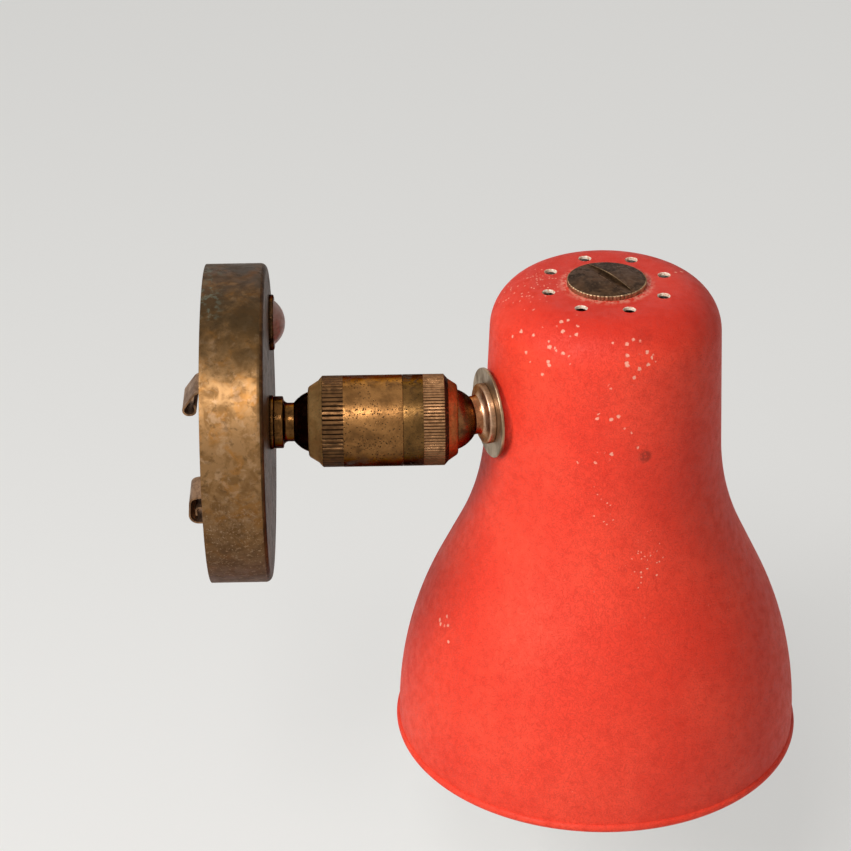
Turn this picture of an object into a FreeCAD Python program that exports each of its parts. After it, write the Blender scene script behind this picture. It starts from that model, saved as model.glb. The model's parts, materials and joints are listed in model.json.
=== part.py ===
import FreeCAD, Part
import math
import os

V = FreeCAD.Vector
X_AXIS = V(1, 0, 0)
Y_AXIS = V(0, 1, 0)
Z_AXIS = V(0, 0, 1)

# An adjustable wall lamp: a round brass canopy, a knurled double ball swivel and a bell shade.
# The origin is the middle of the canopy's back rim, on the wall. X runs out along the arm.

# Cutters run past the faces they cut by this much, and points nearer than this are one
OVERCUT = 1.0
TOUCHING = 1e-6

# Canopy, a spun cup that is open at the back
CANOPY_DIA = 100.0
CANOPY_DEPTH = 19.0
CANOPY_WALL = 1.5
CANOPY_EDGE_ROUND = 2.0
CANOPY_INNER_ROUND = 0.5

# Hanging strap, soldered across the open back
STRAP_WIDTH = 22.0
STRAP_THICK = 1.6
STRAP_TAB = 7.0
SOLDER_GAP = 0.05
KEYHOLE_SPACING = 60.0
KEYHOLE_ENTRY_DIA = 9.0
KEYHOLE_SLOT_WIDTH = 4.6
KEYHOLE_RISE = 6.0

# Spring clips, riveted to the strap, whose curled ends bear on the wall
CLIP_WIDTH = 9.0
CLIP_THICK = 0.6
CLIP_SIDE = 16.0
CLIP_BACK_REACH = 6.5
CLIP_LOWER_BACK_REACH = 4.6
CLIP_CURL = 2.2
CLIP_UPPER_TOP = 24.5
CLIP_LOWER_END = 26.5
CLIP_TOE = 1.0
RIVET_DIA = 3.0
RIVET_HEAD_DIA = 5.2
RIVET_HEAD_HEIGHT = 1.1
RIVET_HEAD_ROUND = 1.0
RIVET_HEIGHT = 6.0
RIVET_FIT = 0.02

# Push switch in the canopy's front, set in from the canopy's wall
SWITCH_BODY_DIA = 23.0
SWITCH_EDGE_ROOM = 3.37
SWITCH_TURN_DEG = 42.0
SWITCH_FLOOR = 5.3
SWITCH_EDGE_ROUND = 1.0
BUSHING_WALL = 0.8
BUSHING_PROUD = 1.3
BEZEL_DIA = 19.6
BEZEL_THICK = 1.4
BEZEL_ROUND = 0.9
BUTTON_DIA = 14.2
BUTTON_PROUD = 4.9
BUTTON_SKIRT = 5.0
BUTTON_TRAVEL = 3.0
BUTTON_ROOM = 0.7
BUTTON_FIT = 0.15
TERMINAL_WIDTH = 4.0
TERMINAL_THICK = 0.8
TERMINAL_LENGTH = 3.4
TERMINAL_SPACING = 10.0

# Ball studs, hollow for the leads
BALL_DIA = 20.0
NECK_DIA = 12.2
NECK_LENGTH = 11.2
NECK_COVE = 2.2
WALL_COLLAR_DIA = 16.4
WALL_COLLAR_THICK = 3.0
SHADE_COLLAR_DIA = 19.2
SHADE_COLLAR_THICK = 2.2
COLLAR_EDGE_ROUND = 0.7
COLLAR_SEAT_ROUND = 0.3
SHANK_DIA = 10.0
SHANK_END = 1.5
SHANK_TIP_ROUND = 0.6
LEAD_BORE_DIA = 7.0
BALL_FLARE_DIA = 12.4
BALL_FLARE_DEPTH = 6.0
SHANK_FIT = 0.06

# Seat rings, nuts and washers on the studs
SEAT_RING_DIA = 17.0
SEAT_RING_THICK = 1.3
NUT_ACROSS_FLATS = 14.0
NUT_THICK = 4.0
NUT_CHAMFER = 0.8
LOCK_WASHER_DIA = 17.0
LOCK_WASHER_THICK = 1.0
SHADE_WASHER_DIA = 28.8
SHADE_WASHER_THICK = 1.1

# Double ball swivel: a long sleeve, and a clamp sleeve screwed over its spigot
BALL_SPACING = 40.0
LIP_REACH = 3.4
BALL_FIT = 0.08
BALL_SEAT_STEP = 0.5
CUP_BALL_FIT = 0.05
CUP_WALL = 1.94
CUP_START = 2.2
CUP_FLOOR = 1.2
CUP_BORE_DIA = 11.0
CUP_FIT = 0.06
SLEEVE_WALL = 2.4
SLEEVE_SHOULDER = 4.0
SLEEVE_SHOULDER_DROP = 1.7
CLAMP_SHOULDER = 3.2
CLAMP_SHOULDER_DROP = 1.5
SHOULDER_ROUND = 2.7
BAND_EDGE_ROUND = 0.3
SEAM_EDGE_ROUND = 0.2
SEAM_FROM_SHADE_BALL = 13.8
SEAM_GAP = 0.2
SPIGOT_LENGTH = 7.9
SPIGOT_WALL = 1.1
SPIGOT_FIT = 0.06
SPIGOT_END_ROOM = 0.4
KNURL_COUNT = 58
KNURL_DEPTH = 0.45
KNURL_GROOVE = 0.8
SLEEVE_KNURL_WIDTH = 6.9
CLAMP_KNURL_WIDTH = 7.7
SPRING_WIRE_DIA = 2.0
SPRING_TURNS = 5
SPRING_SIDE_ROOM = 1.2
SPRING_END_ROOM = 0.15

# Bell shade, spun from sheet. Heights are from the stem's axis.
SHADE_SWING_DEG = 16.5
SHADE_WALL = 1.0
CROWN_HEIGHT = 39.2
NECK_TOP_DIA = 71.8
NECK_LOW_DIA = 77.8
NECK_LOW_DEPTH = 34.0
MOUTH_DIA = 133.0
BELLY_DEPTH = 91.0
MOUTH_DEPTH = 122.0
SHOULDER_BEND = 15.5
COVE_BEND = 91.0
BELLY_BEND = 124.0
RIM_BEAD_DIA = 3.0
SEAT_PAD_DIA = 22.0
SEAT_PAD_PROUD = 0.75
VENT_COUNT = 8
VENT_DIA = 3.6
VENT_CIRCLE_DIA = 38.6

# Slotted cap screw that carries the lamp holder under the crown
CAP_DIA = 25.0
CAP_RIM = 1.6
CAP_DOME = 1.3
CAP_SLOT_WIDTH = 3.0
CAP_SLOT_DEPTH = 1.3
CAP_SLOT_TURN_DEG = -58.6
CAP_MILL_COUNT = 60
CAP_MILL_DEPTH = 0.35
CAP_MILL_GROOVE = 0.8
CAP_SHANK_DIA = 10.0
CAP_SHANK_LENGTH = 12.0
THREAD_FIT = 0.05

# Lamp holder for a 27 mm screw cap
HOLDER_DIA = 40.0
HOLDER_WALL = 2.2
HOLDER_TOP_DIA = 26.0
HOLDER_CAP_HEIGHT = 20.0
HOLDER_CAP_ROUND = 7.0
HOLDER_EDGE_ROUND = 0.8
HOLDER_BOSS_DIA = 16.0
HOLDER_BOSS_HEIGHT = 9.0
HOLDER_SPIGOT = 5.0
HOLDER_SKIRT_LENGTH = 42.0
HOLDER_FIT = 0.05
HOLDER_GRIP_COUNT = 24
HOLDER_GRIP_DEPTH = 0.8
HOLDER_GRIP_WIDTH = 2.4
LEAD_WINDOW_DIA = 8.0
LEAD_WINDOW_DROP = 13.5
INSERT_HEIGHT = 10.0
INSERT_EDGE_ROUND = 0.5
INSERT_POCKET_DIA = 4.4
INSERT_POCKET_DEPTH = 4.0
SCREW_SHELL_BORE_DIA = 26.6
SCREW_SHELL_WALL = 0.6
SCREW_SHELL_LENGTH = 25.0
SHELL_FLANGE_DIA = 33.0
SHELL_FLANGE_THICK = 1.0
CONTACT_WELL_DIA = 22.0
CONTACT_WELL_DEPTH = 5.0
CONTACT_WIDTH = 6.0
CONTACT_THICK = 0.6
CONTACT_SPRING = 4.5
CONTACT_LENGTH = 9.0
SKIRT_LEDGE = 1.0
SKIRT_FOOT_ROUND = 1.5
SKIRT_GRIP_LENGTH = 20.0

# Insulated leads
LEAD_DIA = 1.8
LEAD_PITCH = 2.4
LEAD_TIP_DIA = 1.0
LEAD_TIP_LENGTH = 6.0
LEAD_BEND_SHARE = 0.45
LEAD_LEVEL = 6.2
LEAD_POCKET_RISE = 6.8
LIVE_CORNER_RISE = 4.0
NEUTRAL_SIDE = 5.0
NEUTRAL_RISE = 22.0
NEUTRAL_END_LEVEL = 8.2
NEUTRAL_EDGE_ROOM = 13.4
NEUTRAL_END_TURN_DEG = 86.7
TAIL_RISE = 10.1
TAIL_BEND_LEVEL = 5.5
TAIL_BEND_ROOM = 2.2
TAIL_BEND_TURN_DEG = 61.0
TAIL_END_LEVEL = 8.5
TAIL_END_ROOM = 4.2
TAIL_END_TURN_DEG = 71.6

# Places that follow from the sizes above
CANOPY_R = CANOPY_DIA / 2
CANOPY_INNER_R = CANOPY_R - CANOPY_WALL
CANOPY_FLOOR = CANOPY_DEPTH - CANOPY_WALL
SWITCH_ROOM = SWITCH_BODY_DIA / 2 + SWITCH_EDGE_ROOM
BALL_R = BALL_DIA / 2
WALL_SEAT = NECK_LENGTH + WALL_COLLAR_THICK
SHADE_SEAT = NECK_LENGTH + SHADE_COLLAR_THICK
WALL_BALL_X = CANOPY_DEPTH + SEAT_RING_THICK + WALL_SEAT
SHADE_BALL_X = WALL_BALL_X + BALL_SPACING
CUP_R = BALL_R + CUP_WALL
SLEEVE_BORE_R = CUP_R + CUP_FIT
SLEEVE_R = SLEEVE_BORE_R + SLEEVE_WALL
SPIGOT_R = SLEEVE_BORE_R + SPIGOT_WALL
SEAM_X = SHADE_BALL_X - SEAM_FROM_SHADE_BALL
CUP_END = BALL_R + CUP_FLOOR
NECK_SLOPE = (NECK_LOW_DIA - NECK_TOP_DIA) / 2 / (CROWN_HEIGHT + NECK_LOW_DEPTH)
SEAT_PLANE = NECK_TOP_DIA / 2 + NECK_SLOPE * CROWN_HEIGHT + SEAT_PAD_PROUD
SHADE_AXIS_REACH = SHADE_SEAT + SHADE_WASHER_THICK + SEAT_PLANE
CROWN_UNDERSIDE = CROWN_HEIGHT - SHADE_WALL
HOLDER_R = HOLDER_DIA / 2
HOLDER_JOINT = CROWN_UNDERSIDE - HOLDER_CAP_HEIGHT
INSERT_TOP = HOLDER_JOINT - HOLDER_SPIGOT
INSERT_LOW = INSERT_TOP - INSERT_HEIGHT
CONTACT_SEAT = INSERT_LOW + CONTACT_WELL_DEPTH
POCKET_REACH = (HOLDER_R - HOLDER_WALL) / 2
SKIRT_LOW = HOLDER_JOINT - HOLDER_SKIRT_LENGTH
SHELL_LOW = INSERT_LOW - SCREW_SHELL_LENGTH
BUTTON_R = BUTTON_DIA / 2
WELL_R = BUTTON_R + BUTTON_FIT
BUSHING_R = WELL_R + BUSHING_WALL
BUTTON_FOOT = CANOPY_DEPTH - BUTTON_SKIRT
SWITCH_BACK = BUTTON_FOOT - BUTTON_TRAVEL - BUTTON_ROOM - SWITCH_FLOOR
SHANK_HOLE_R = SHANK_DIA / 2 + SHANK_FIT


def flat_face(corners):
    """A face in the XY plane inside a closed outline of (u, v, rounding) corners.

    Each rounding is a tangent arc, and shrinks to the room that the straight runs beside it have.
    """
    count = len(corners)
    points = [V(c[0], c[1], 0) for c in corners]
    aheads = [(points[(i + 1) % count] - points[i]).normalize() for i in range(count)]
    rooms = [(points[(i + 1) % count] - points[i]).Length for i in range(count)]
    halves = [(aheads[i - 1] * -1).getAngle(aheads[i]) / 2 for i in range(count)]
    roundings = [c[2] if len(c) > 2 else 0.0 for c in corners]
    setbacks = [roundings[i] / math.tan(halves[i]) for i in range(count)]
    needs = [setbacks[i] + setbacks[(i + 1) % count] for i in range(count)]
    fits = [min(1.0, rooms[i] / needs[i]) if needs[i] > 0 else 1.0 for i in range(count)]
    setbacks = [setbacks[i] * min(fits[i - 1], fits[i]) for i in range(count)]
    edges = []
    for i in range(count):
        before = aheads[i - 1]
        after = aheads[i]
        leave = points[i] + after * setbacks[i]
        if setbacks[i] > 0:
            radius = setbacks[i] * math.tan(halves[i])
            inwards = (after - before).normalize()
            middle = points[i] + inwards * (radius / math.sin(halves[i]) - radius)
            edges.append(Part.Arc(points[i] - before * setbacks[i], middle, leave).toShape())
        j = (i + 1) % count
        arrive = points[j] - after * setbacks[j]
        if (arrive - leave).Length > TOUCHING:
            edges.append(Part.LineSegment(leave, arrive).toShape())
    return Part.Face(Part.Wire(edges))


def lathe_x(corners):
    """Turn an outline of (x, radius, rounding) corners round the X axis."""
    return flat_face(corners).revolve(V(0, 0, 0), X_AXIS, 360)


def lathe_z(corners):
    """Turn an outline of (radius, z, rounding) corners round the Z axis."""
    face = flat_face(corners)
    face.rotate(V(0, 0, 0), X_AXIS, 90)
    return face.revolve(V(0, 0, 0), Z_AXIS, 360)


def offset_path(corners, distance):
    """The same open path, moved sideways to the right of its travel, with its bends kept parallel."""
    points = [V(c[0], c[1], 0) for c in corners]
    headings = [(points[i + 1] - points[i]).normalize() for i in range(len(points) - 1)]
    rights = [V(h.y, -h.x, 0) for h in headings]
    moved = []
    for i in range(len(points)):
        rounding = corners[i][2] if len(corners[i]) > 2 else 0.0
        if i == 0:
            place = points[i] + rights[0] * distance
        elif i == len(points) - 1:
            place = points[i] + rights[-1] * distance
        else:
            before = rights[i - 1]
            after = rights[i]
            place = points[i] + (before + after) * (distance / (1 + before.dot(after)))
            left_turn = headings[i - 1].cross(headings[i]).z > 0
            rounding = max(0.0, rounding + (distance if left_turn else -distance))
        moved.append((place.x, place.y, rounding))
    return moved


def rod(radius, start, end):
    """A round bar from one point to another."""
    along = end - start
    return Part.makeCylinder(radius, along.Length, start, along)


def ring_x(outer_dia, bore_dia, x_low, x_high):
    """A flat ring round the X axis."""
    ring = rod(outer_dia / 2, V(x_low, 0, 0), V(x_high, 0, 0))
    return ring.cut(rod(bore_dia / 2, V(x_low - OVERCUT, 0, 0), V(x_high + OVERCUT, 0, 0)))


def hex_nut(x_low):
    """A chamfered hexagon nut on the X axis, with its bore clear of the shank by the thread's fit."""
    corner_r = NUT_ACROSS_FLATS / math.sqrt(3)
    corners = []
    for i in range(7):
        turn = math.radians(60 * i)
        corners.append(V(x_low, corner_r * math.cos(turn), corner_r * math.sin(turn)))
    prism = Part.Face(Part.makePolygon(corners)).extrude(V(NUT_THICK, 0, 0))
    turned = lathe_x([
        (x_low, 0),
        (x_low, corner_r - NUT_CHAMFER),
        (x_low + NUT_CHAMFER / 2, corner_r),
        (x_low + NUT_THICK - NUT_CHAMFER / 2, corner_r),
        (x_low + NUT_THICK, corner_r - NUT_CHAMFER),
        (x_low + NUT_THICK, 0)])
    bore = rod(SHANK_HOLE_R, V(x_low - OVERCUT, 0, 0), V(x_low + NUT_THICK + OVERCUT, 0, 0))
    return prism.common(turned).cut(bore)


def lead(points):
    """An insulated lead through the points, in straight runs joined by arcs as large as the runs allow."""
    edges = []
    start = points[0]
    for i in range(1, len(points) - 1):
        back = points[i - 1] - points[i]
        ahead = points[i + 1] - points[i]
        setback = LEAD_BEND_SHARE * min(back.Length, ahead.Length)
        back = back.normalize()
        ahead = ahead.normalize()
        half = back.getAngle(ahead) / 2
        radius = setback * math.tan(half)
        middle = points[i] + (back + ahead).normalize() * (radius / math.sin(half) - radius)
        edges.append(Part.LineSegment(start, points[i] + back * setback).toShape())
        edges.append(Part.Arc(points[i] + back * setback, middle, points[i] + ahead * setback).toShape())
        start = points[i] + ahead * setback
        print("lead bend radius %.1f mm" % radius)
    edges.append(Part.LineSegment(start, points[-1]).toShape())
    spine = Part.Wire(edges)
    section = Part.Wire(Part.makeCircle(LEAD_DIA / 2, points[0], points[1] - points[0]))
    return spine.makePipeShell([section], True, False)


def canopy():
    cup = lathe_x([
        (0, 0),
        (0, CANOPY_R),
        (CANOPY_DEPTH, CANOPY_R, CANOPY_EDGE_ROUND),
        (CANOPY_DEPTH, 0)])
    hollow = lathe_x([
        (-OVERCUT, 0),
        (-OVERCUT, CANOPY_INNER_R),
        (CANOPY_FLOOR, CANOPY_INNER_R, CANOPY_INNER_ROUND),
        (CANOPY_FLOOR, 0)])
    stud_hole = rod(SHANK_HOLE_R, V(0, 0, 0), V(CANOPY_DEPTH + OVERCUT, 0, 0))
    switch_hole = rod(BUSHING_R + THREAD_FIT, at_switch(0), at_switch(CANOPY_DEPTH + OVERCUT))
    return cup.cut([hollow, stud_hole, switch_hole])


def from_edge(x, room, turn_deg):
    """A point inside the canopy, set in from its wall and turned up from the Y axis."""
    turn = math.radians(turn_deg)
    reach = CANOPY_INNER_R - room
    return V(x, reach * math.cos(turn), reach * math.sin(turn))


def at_switch(x):
    return from_edge(x, SWITCH_ROOM, SWITCH_TURN_DEG)


def hanging_strap():
    outer_r = CANOPY_INNER_R - SOLDER_GAP
    band = Part.makeBox(CANOPY_DEPTH, CANOPY_DIA, STRAP_WIDTH, V(0, -CANOPY_R, -STRAP_WIDTH / 2))
    flat = rod(outer_r, V(0, 0, 0), V(STRAP_THICK, 0, 0)).common(band)
    tabs = ring_x(2 * outer_r, 2 * (outer_r - STRAP_THICK), 0, STRAP_TAB).common(band)
    cuts = []
    for side in (-1, 1):
        y = side * KEYHOLE_SPACING / 2
        through = STRAP_THICK + 2 * OVERCUT
        entry = V(-OVERCUT, y, 0)
        cuts.append(rod(KEYHOLE_ENTRY_DIA / 2, entry, entry + V(through, 0, 0)))
        slot_corner = entry - V(0, KEYHOLE_SLOT_WIDTH / 2, 0)
        cuts.append(Part.makeBox(through, KEYHOLE_SLOT_WIDTH, KEYHOLE_RISE, slot_corner))
        top = entry + V(0, 0, KEYHOLE_RISE)
        cuts.append(rod(KEYHOLE_SLOT_WIDTH / 2, top, top + V(through, 0, 0)))
        cuts.append(rivet_hole(side))
    return flat.fuse(tabs).cut(cuts).removeSplitter()


def rivet_hole(side):
    z = side * RIVET_HEIGHT
    return rod(RIVET_DIA / 2 + RIVET_FIT, V(-OVERCUT, -CLIP_SIDE, z), V(CANOPY_DEPTH, -CLIP_SIDE, z))


def curled_strip(path, distance, side):
    """Bend a flat strip along an (x, z) path and punch its rivet hole."""
    other = list(reversed(offset_path(path, distance)))
    strip = flat_face(path + other)
    strip.rotate(V(0, 0, 0), X_AXIS, 90)
    strip.translate(V(0, -CLIP_SIDE + CLIP_WIDTH / 2, 0))
    return strip.extrude(V(0, -CLIP_WIDTH, 0)).cut(rivet_hole(side))


def spring_clip_upper():
    curl_low = STRAP_WIDTH / 2 + 2 * CLIP_THICK
    path = [
        (STRAP_THICK, RIVET_HEIGHT - RIVET_HEAD_DIA / 2 - CLIP_TOE),
        (STRAP_THICK, CLIP_UPPER_TOP, CLIP_CURL),
        (-CLIP_BACK_REACH, CLIP_UPPER_TOP - CLIP_CURL, CLIP_CURL),
        (-CLIP_BACK_REACH + CLIP_CURL / 2, curl_low, CLIP_CURL),
        (-CLIP_CURL / 2, curl_low + CLIP_THICK, CLIP_CURL),
        (-CLIP_CURL, curl_low + 2 * CLIP_CURL)]
    return curled_strip(path, CLIP_THICK, 1)


def spring_clip_lower():
    turn_back = -STRAP_WIDTH / 2 - 2 * CLIP_CURL
    path = [
        (STRAP_THICK, -RIVET_HEIGHT + RIVET_HEAD_DIA / 2 + CLIP_TOE),
        (STRAP_THICK, turn_back + CLIP_CURL / 2, CLIP_CURL),
        (-CLIP_LOWER_BACK_REACH, turn_back, CLIP_CURL),
        (-CLIP_LOWER_BACK_REACH - CLIP_THICK, -CLIP_LOWER_END, CLIP_CURL),
        (-CLIP_CURL / 4, -CLIP_LOWER_END + CLIP_THICK, CLIP_CURL),
        (-CLIP_CURL / 2, -CLIP_LOWER_END + 2.5 * CLIP_CURL)]
    return curled_strip(path, -CLIP_THICK, -1)


def clip_rivets():
    rivets = []
    seat = STRAP_THICK + CLIP_THICK
    for side in (-1, 1):
        rivet = lathe_x([
            (0, 0),
            (0, RIVET_DIA / 2),
            (seat, RIVET_DIA / 2),
            (seat, RIVET_HEAD_DIA / 2),
            (seat + RIVET_HEAD_HEIGHT, RIVET_HEAD_DIA / 2, RIVET_HEAD_ROUND),
            (seat + RIVET_HEAD_HEIGHT, 0)])
        rivet.translate(V(0, -CLIP_SIDE, side * RIVET_HEIGHT))
        rivets.append(rivet)
    return Part.Compound(rivets)


def switch_body():
    front = CANOPY_DEPTH + BUSHING_PROUD
    turned = lathe_x([
        (SWITCH_BACK, 0),
        (SWITCH_BACK, SWITCH_BODY_DIA / 2, SWITCH_EDGE_ROUND),
        (CANOPY_FLOOR, SWITCH_BODY_DIA / 2),
        (CANOPY_FLOOR, BUSHING_R),
        (front, BUSHING_R),
        (front, 0)])
    well = rod(WELL_R, V(SWITCH_BACK + SWITCH_FLOOR, 0, 0), V(front + OVERCUT, 0, 0))
    body = turned.cut(well)
    body.translate(at_switch(0))
    return body


def switch_terminals():
    blades = []
    for side in (-1, 1):
        low = at_switch(SWITCH_BACK - TERMINAL_LENGTH)
        low = low + V(0, side * TERMINAL_SPACING / 2 - TERMINAL_WIDTH / 2, -TERMINAL_THICK / 2)
        blades.append(Part.makeBox(TERMINAL_LENGTH, TERMINAL_WIDTH, TERMINAL_THICK, low))
    return Part.Compound(blades)


def switch_bezel_nut():
    bore_r = BUSHING_R + THREAD_FIT
    bezel = lathe_x([
        (CANOPY_DEPTH, bore_r),
        (CANOPY_DEPTH, BEZEL_DIA / 2),
        (CANOPY_DEPTH + BEZEL_THICK, BEZEL_DIA / 2, BEZEL_ROUND),
        (CANOPY_DEPTH + BEZEL_THICK, bore_r)])
    bezel.translate(at_switch(0))
    return bezel


def dome_cap(radius, height):
    """A cap of a sphere that stands on the XY plane."""
    sphere_r = (radius ** 2 + height ** 2) / (2 * height)
    sphere = Part.makeSphere(sphere_r, V(0, 0, height - sphere_r))
    return sphere.common(Part.makeCylinder(2 * radius, height + OVERCUT))


def push_button():
    rim = CANOPY_DEPTH + BUSHING_PROUD
    dome = dome_cap(BUTTON_R, BUTTON_PROUD - BUSHING_PROUD)
    dome.rotate(V(0, 0, 0), Y_AXIS, 90)
    dome.translate(V(rim, 0, 0))
    button = rod(BUTTON_R, V(BUTTON_FOOT, 0, 0), V(rim, 0, 0)).fuse(dome)
    button.translate(at_switch(0))
    return button


def ball_stud(collar_dia, collar_thick, shank_length):
    """A hollow ball stud with its ball at the origin and its shank along X."""
    neck_r = NECK_DIA / 2
    seat = NECK_LENGTH + collar_thick
    stem = lathe_x([
        (0, 0),
        (0, neck_r),
        (NECK_LENGTH, neck_r, NECK_COVE),
        (NECK_LENGTH, collar_dia / 2, COLLAR_EDGE_ROUND),
        (seat, collar_dia / 2, COLLAR_SEAT_ROUND),
        (seat, SHANK_DIA / 2),
        (seat + shank_length, SHANK_DIA / 2, SHANK_TIP_ROUND),
        (seat + shank_length, 0)])
    ball = Part.makeSphere(BALL_R)
    bore = rod(LEAD_BORE_DIA / 2, V(-BALL_DIA, 0, 0), V(seat + shank_length + OVERCUT, 0, 0))
    flare_start = -math.sqrt(BALL_R ** 2 - (BALL_FLARE_DIA / 2) ** 2)
    flare = lathe_x([
        (flare_start + BALL_FLARE_DEPTH, 0),
        (flare_start + BALL_FLARE_DEPTH, LEAD_BORE_DIA / 2),
        (flare_start, BALL_FLARE_DIA / 2),
        (-BALL_DIA, BALL_FLARE_DIA / 2),
        (-BALL_DIA, 0)])
    return ball.fuse(stem).cut([bore, flare]).removeSplitter()


def wall_stud_shank():
    return SEAT_RING_THICK + CANOPY_WALL + LOCK_WASHER_THICK + NUT_THICK + SHANK_END


def wall_ball_stud():
    stud = ball_stud(WALL_COLLAR_DIA, WALL_COLLAR_THICK, wall_stud_shank())
    stud.rotate(V(0, 0, 0), Z_AXIS, 180)
    stud.translate(V(WALL_BALL_X, 0, 0))
    return stud


def wall_seat_ring():
    return ring_x(SEAT_RING_DIA, SHANK_DIA + 2 * SHANK_FIT, CANOPY_DEPTH, CANOPY_DEPTH + SEAT_RING_THICK)


def wall_lock_washer():
    bore = SHANK_DIA + 2 * SHANK_FIT
    return ring_x(LOCK_WASHER_DIA, bore, CANOPY_FLOOR - LOCK_WASHER_THICK, CANOPY_FLOOR)


def wall_lock_nut():
    return hex_nut(CANOPY_FLOOR - LOCK_WASHER_THICK - NUT_THICK)


def milled_grooves(radius, count, depth, width, x_low, x_high):
    """V grooves round a band of a bar on the X axis, parallel to its axis."""
    root = radius - depth
    crest = radius + depth
    corners = [V(x_low, -width, crest), V(x_low, width, crest), V(x_low, 0, root), V(x_low, -width, crest)]
    groove = Part.Face(Part.makePolygon(corners)).extrude(V(x_high - x_low, 0, 0))
    grooves = []
    for i in range(count):
        copy = groove.copy()
        copy.rotate(V(0, 0, 0), X_AXIS, 360.0 * i / count)
        grooves.append(copy)
    return grooves


def knurl(x_low, x_high):
    return milled_grooves(SLEEVE_R, KNURL_COUNT, KNURL_DEPTH, KNURL_GROOVE, x_low, x_high)


def ball_seat(x):
    return Part.makeSphere(BALL_R + BALL_FIT, V(x, 0, 0))


def swivel_sleeve():
    lip = WALL_BALL_X - LIP_REACH
    band = lip + SLEEVE_SHOULDER
    shoulder_r = SLEEVE_R - SLEEVE_SHOULDER_DROP
    spigot_end = SEAM_X + SPIGOT_LENGTH
    body = lathe_x([
        (lip, 0),
        (lip, shoulder_r, SHOULDER_ROUND),
        (band, shoulder_r),
        (band, SLEEVE_R, BAND_EDGE_ROUND),
        (SEAM_X, SLEEVE_R, SEAM_EDGE_ROUND),
        (SEAM_X, SPIGOT_R),
        (spigot_end, SPIGOT_R),
        (spigot_end, 0)])
    bore = rod(SLEEVE_BORE_R, V(WALL_BALL_X + BALL_SEAT_STEP, 0, 0), V(spigot_end + OVERCUT, 0, 0))
    hollow = body.cut([bore, ball_seat(WALL_BALL_X)])
    return hollow.cut(knurl(band, band + SLEEVE_KNURL_WIDTH))


def clamp_sleeve():
    start = SEAM_X + SEAM_GAP
    lip = SHADE_BALL_X + LIP_REACH
    band = lip - CLAMP_SHOULDER
    shoulder_r = SLEEVE_R - CLAMP_SHOULDER_DROP
    body = lathe_x([
        (start, 0),
        (start, SLEEVE_R, SEAM_EDGE_ROUND),
        (band, SLEEVE_R, BAND_EDGE_ROUND),
        (band, shoulder_r),
        (lip, shoulder_r, SHOULDER_ROUND),
        (lip, 0)])
    spigot_room = SEAM_X + SPIGOT_LENGTH + SPIGOT_END_ROOM
    socket = rod(SPIGOT_R + SPIGOT_FIT, V(start - OVERCUT, 0, 0), V(spigot_room, 0, 0))
    bore = rod(SLEEVE_BORE_R, V(start, 0, 0), V(SHADE_BALL_X - BALL_SEAT_STEP, 0, 0))
    hollow = body.cut([socket, bore, ball_seat(SHADE_BALL_X)])
    return hollow.cut(knurl(band - CLAMP_KNURL_WIDTH, band))


def friction_cup():
    """A cup that presses on the back of a ball at the origin, opening towards -X."""
    cup = rod(CUP_R, V(CUP_START, 0, 0), V(CUP_END, 0, 0))
    seat = Part.makeSphere(BALL_R + CUP_BALL_FIT)
    return cup.cut([seat, rod(CUP_BORE_DIA / 2, V(0, 0, 0), V(CUP_END + OVERCUT, 0, 0))])


def wall_friction_cup():
    cup = friction_cup()
    cup.translate(V(WALL_BALL_X, 0, 0))
    return cup


def shade_friction_cup():
    cup = friction_cup()
    cup.rotate(V(0, 0, 0), Z_AXIS, 180)
    cup.translate(V(SHADE_BALL_X, 0, 0))
    return cup


def swivel_spring():
    """A coil between the two cups, in arcs of a quarter turn."""
    start = WALL_BALL_X + CUP_END + SPRING_END_ROOM + SPRING_WIRE_DIA / 2
    end = SHADE_BALL_X - CUP_END - SPRING_END_ROOM - SPRING_WIRE_DIA / 2
    coil_r = SLEEVE_BORE_R - SPRING_SIDE_ROOM - SPRING_WIRE_DIA / 2
    rise = (end - start) / SPRING_TURNS

    def on_coil(turn):
        angle = 2 * math.pi * turn
        return V(start + rise * turn, coil_r * math.cos(angle), coil_r * math.sin(angle))

    edges = []
    for i in range(4 * SPRING_TURNS):
        arc = Part.Arc(on_coil(i / 4), on_coil(i / 4 + 1 / 8), on_coil(i / 4 + 1 / 4))
        edges.append(arc.toShape())
    heading = V(rise / (2 * math.pi), 0, coil_r)
    section = Part.Wire(Part.makeCircle(SPRING_WIRE_DIA / 2, on_coil(0), heading))
    next_turn = [(on_coil(1 + i / 24) - on_coil(0)).Length for i in range(-6, 7)]
    print("least gap between spring turns %.2f mm" % (min(next_turn) - SPRING_WIRE_DIA))
    return Part.Wire(edges).makePipeShell([section], True, False)


# Shade pieces are made with the shade's axis on Z and the stem coming in along -X, then swung into place


def place_shade(shape):
    swing = math.radians(SHADE_SWING_DEG)
    shape.rotate(V(0, 0, 0), Z_AXIS, SHADE_SWING_DEG)
    reach = V(math.cos(swing), math.sin(swing), 0) * SHADE_AXIS_REACH
    shape.translate(V(SHADE_BALL_X, 0, 0) + reach)
    return shape


def shade_stud_shank():
    return SHADE_WASHER_THICK + SHADE_WALL + LOCK_WASHER_THICK + NUT_THICK + SHANK_END


def shade_ball_stud():
    stud = ball_stud(SHADE_COLLAR_DIA, SHADE_COLLAR_THICK, shade_stud_shank())
    stud.translate(V(-SHADE_AXIS_REACH, 0, 0))
    return place_shade(stud)


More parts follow.
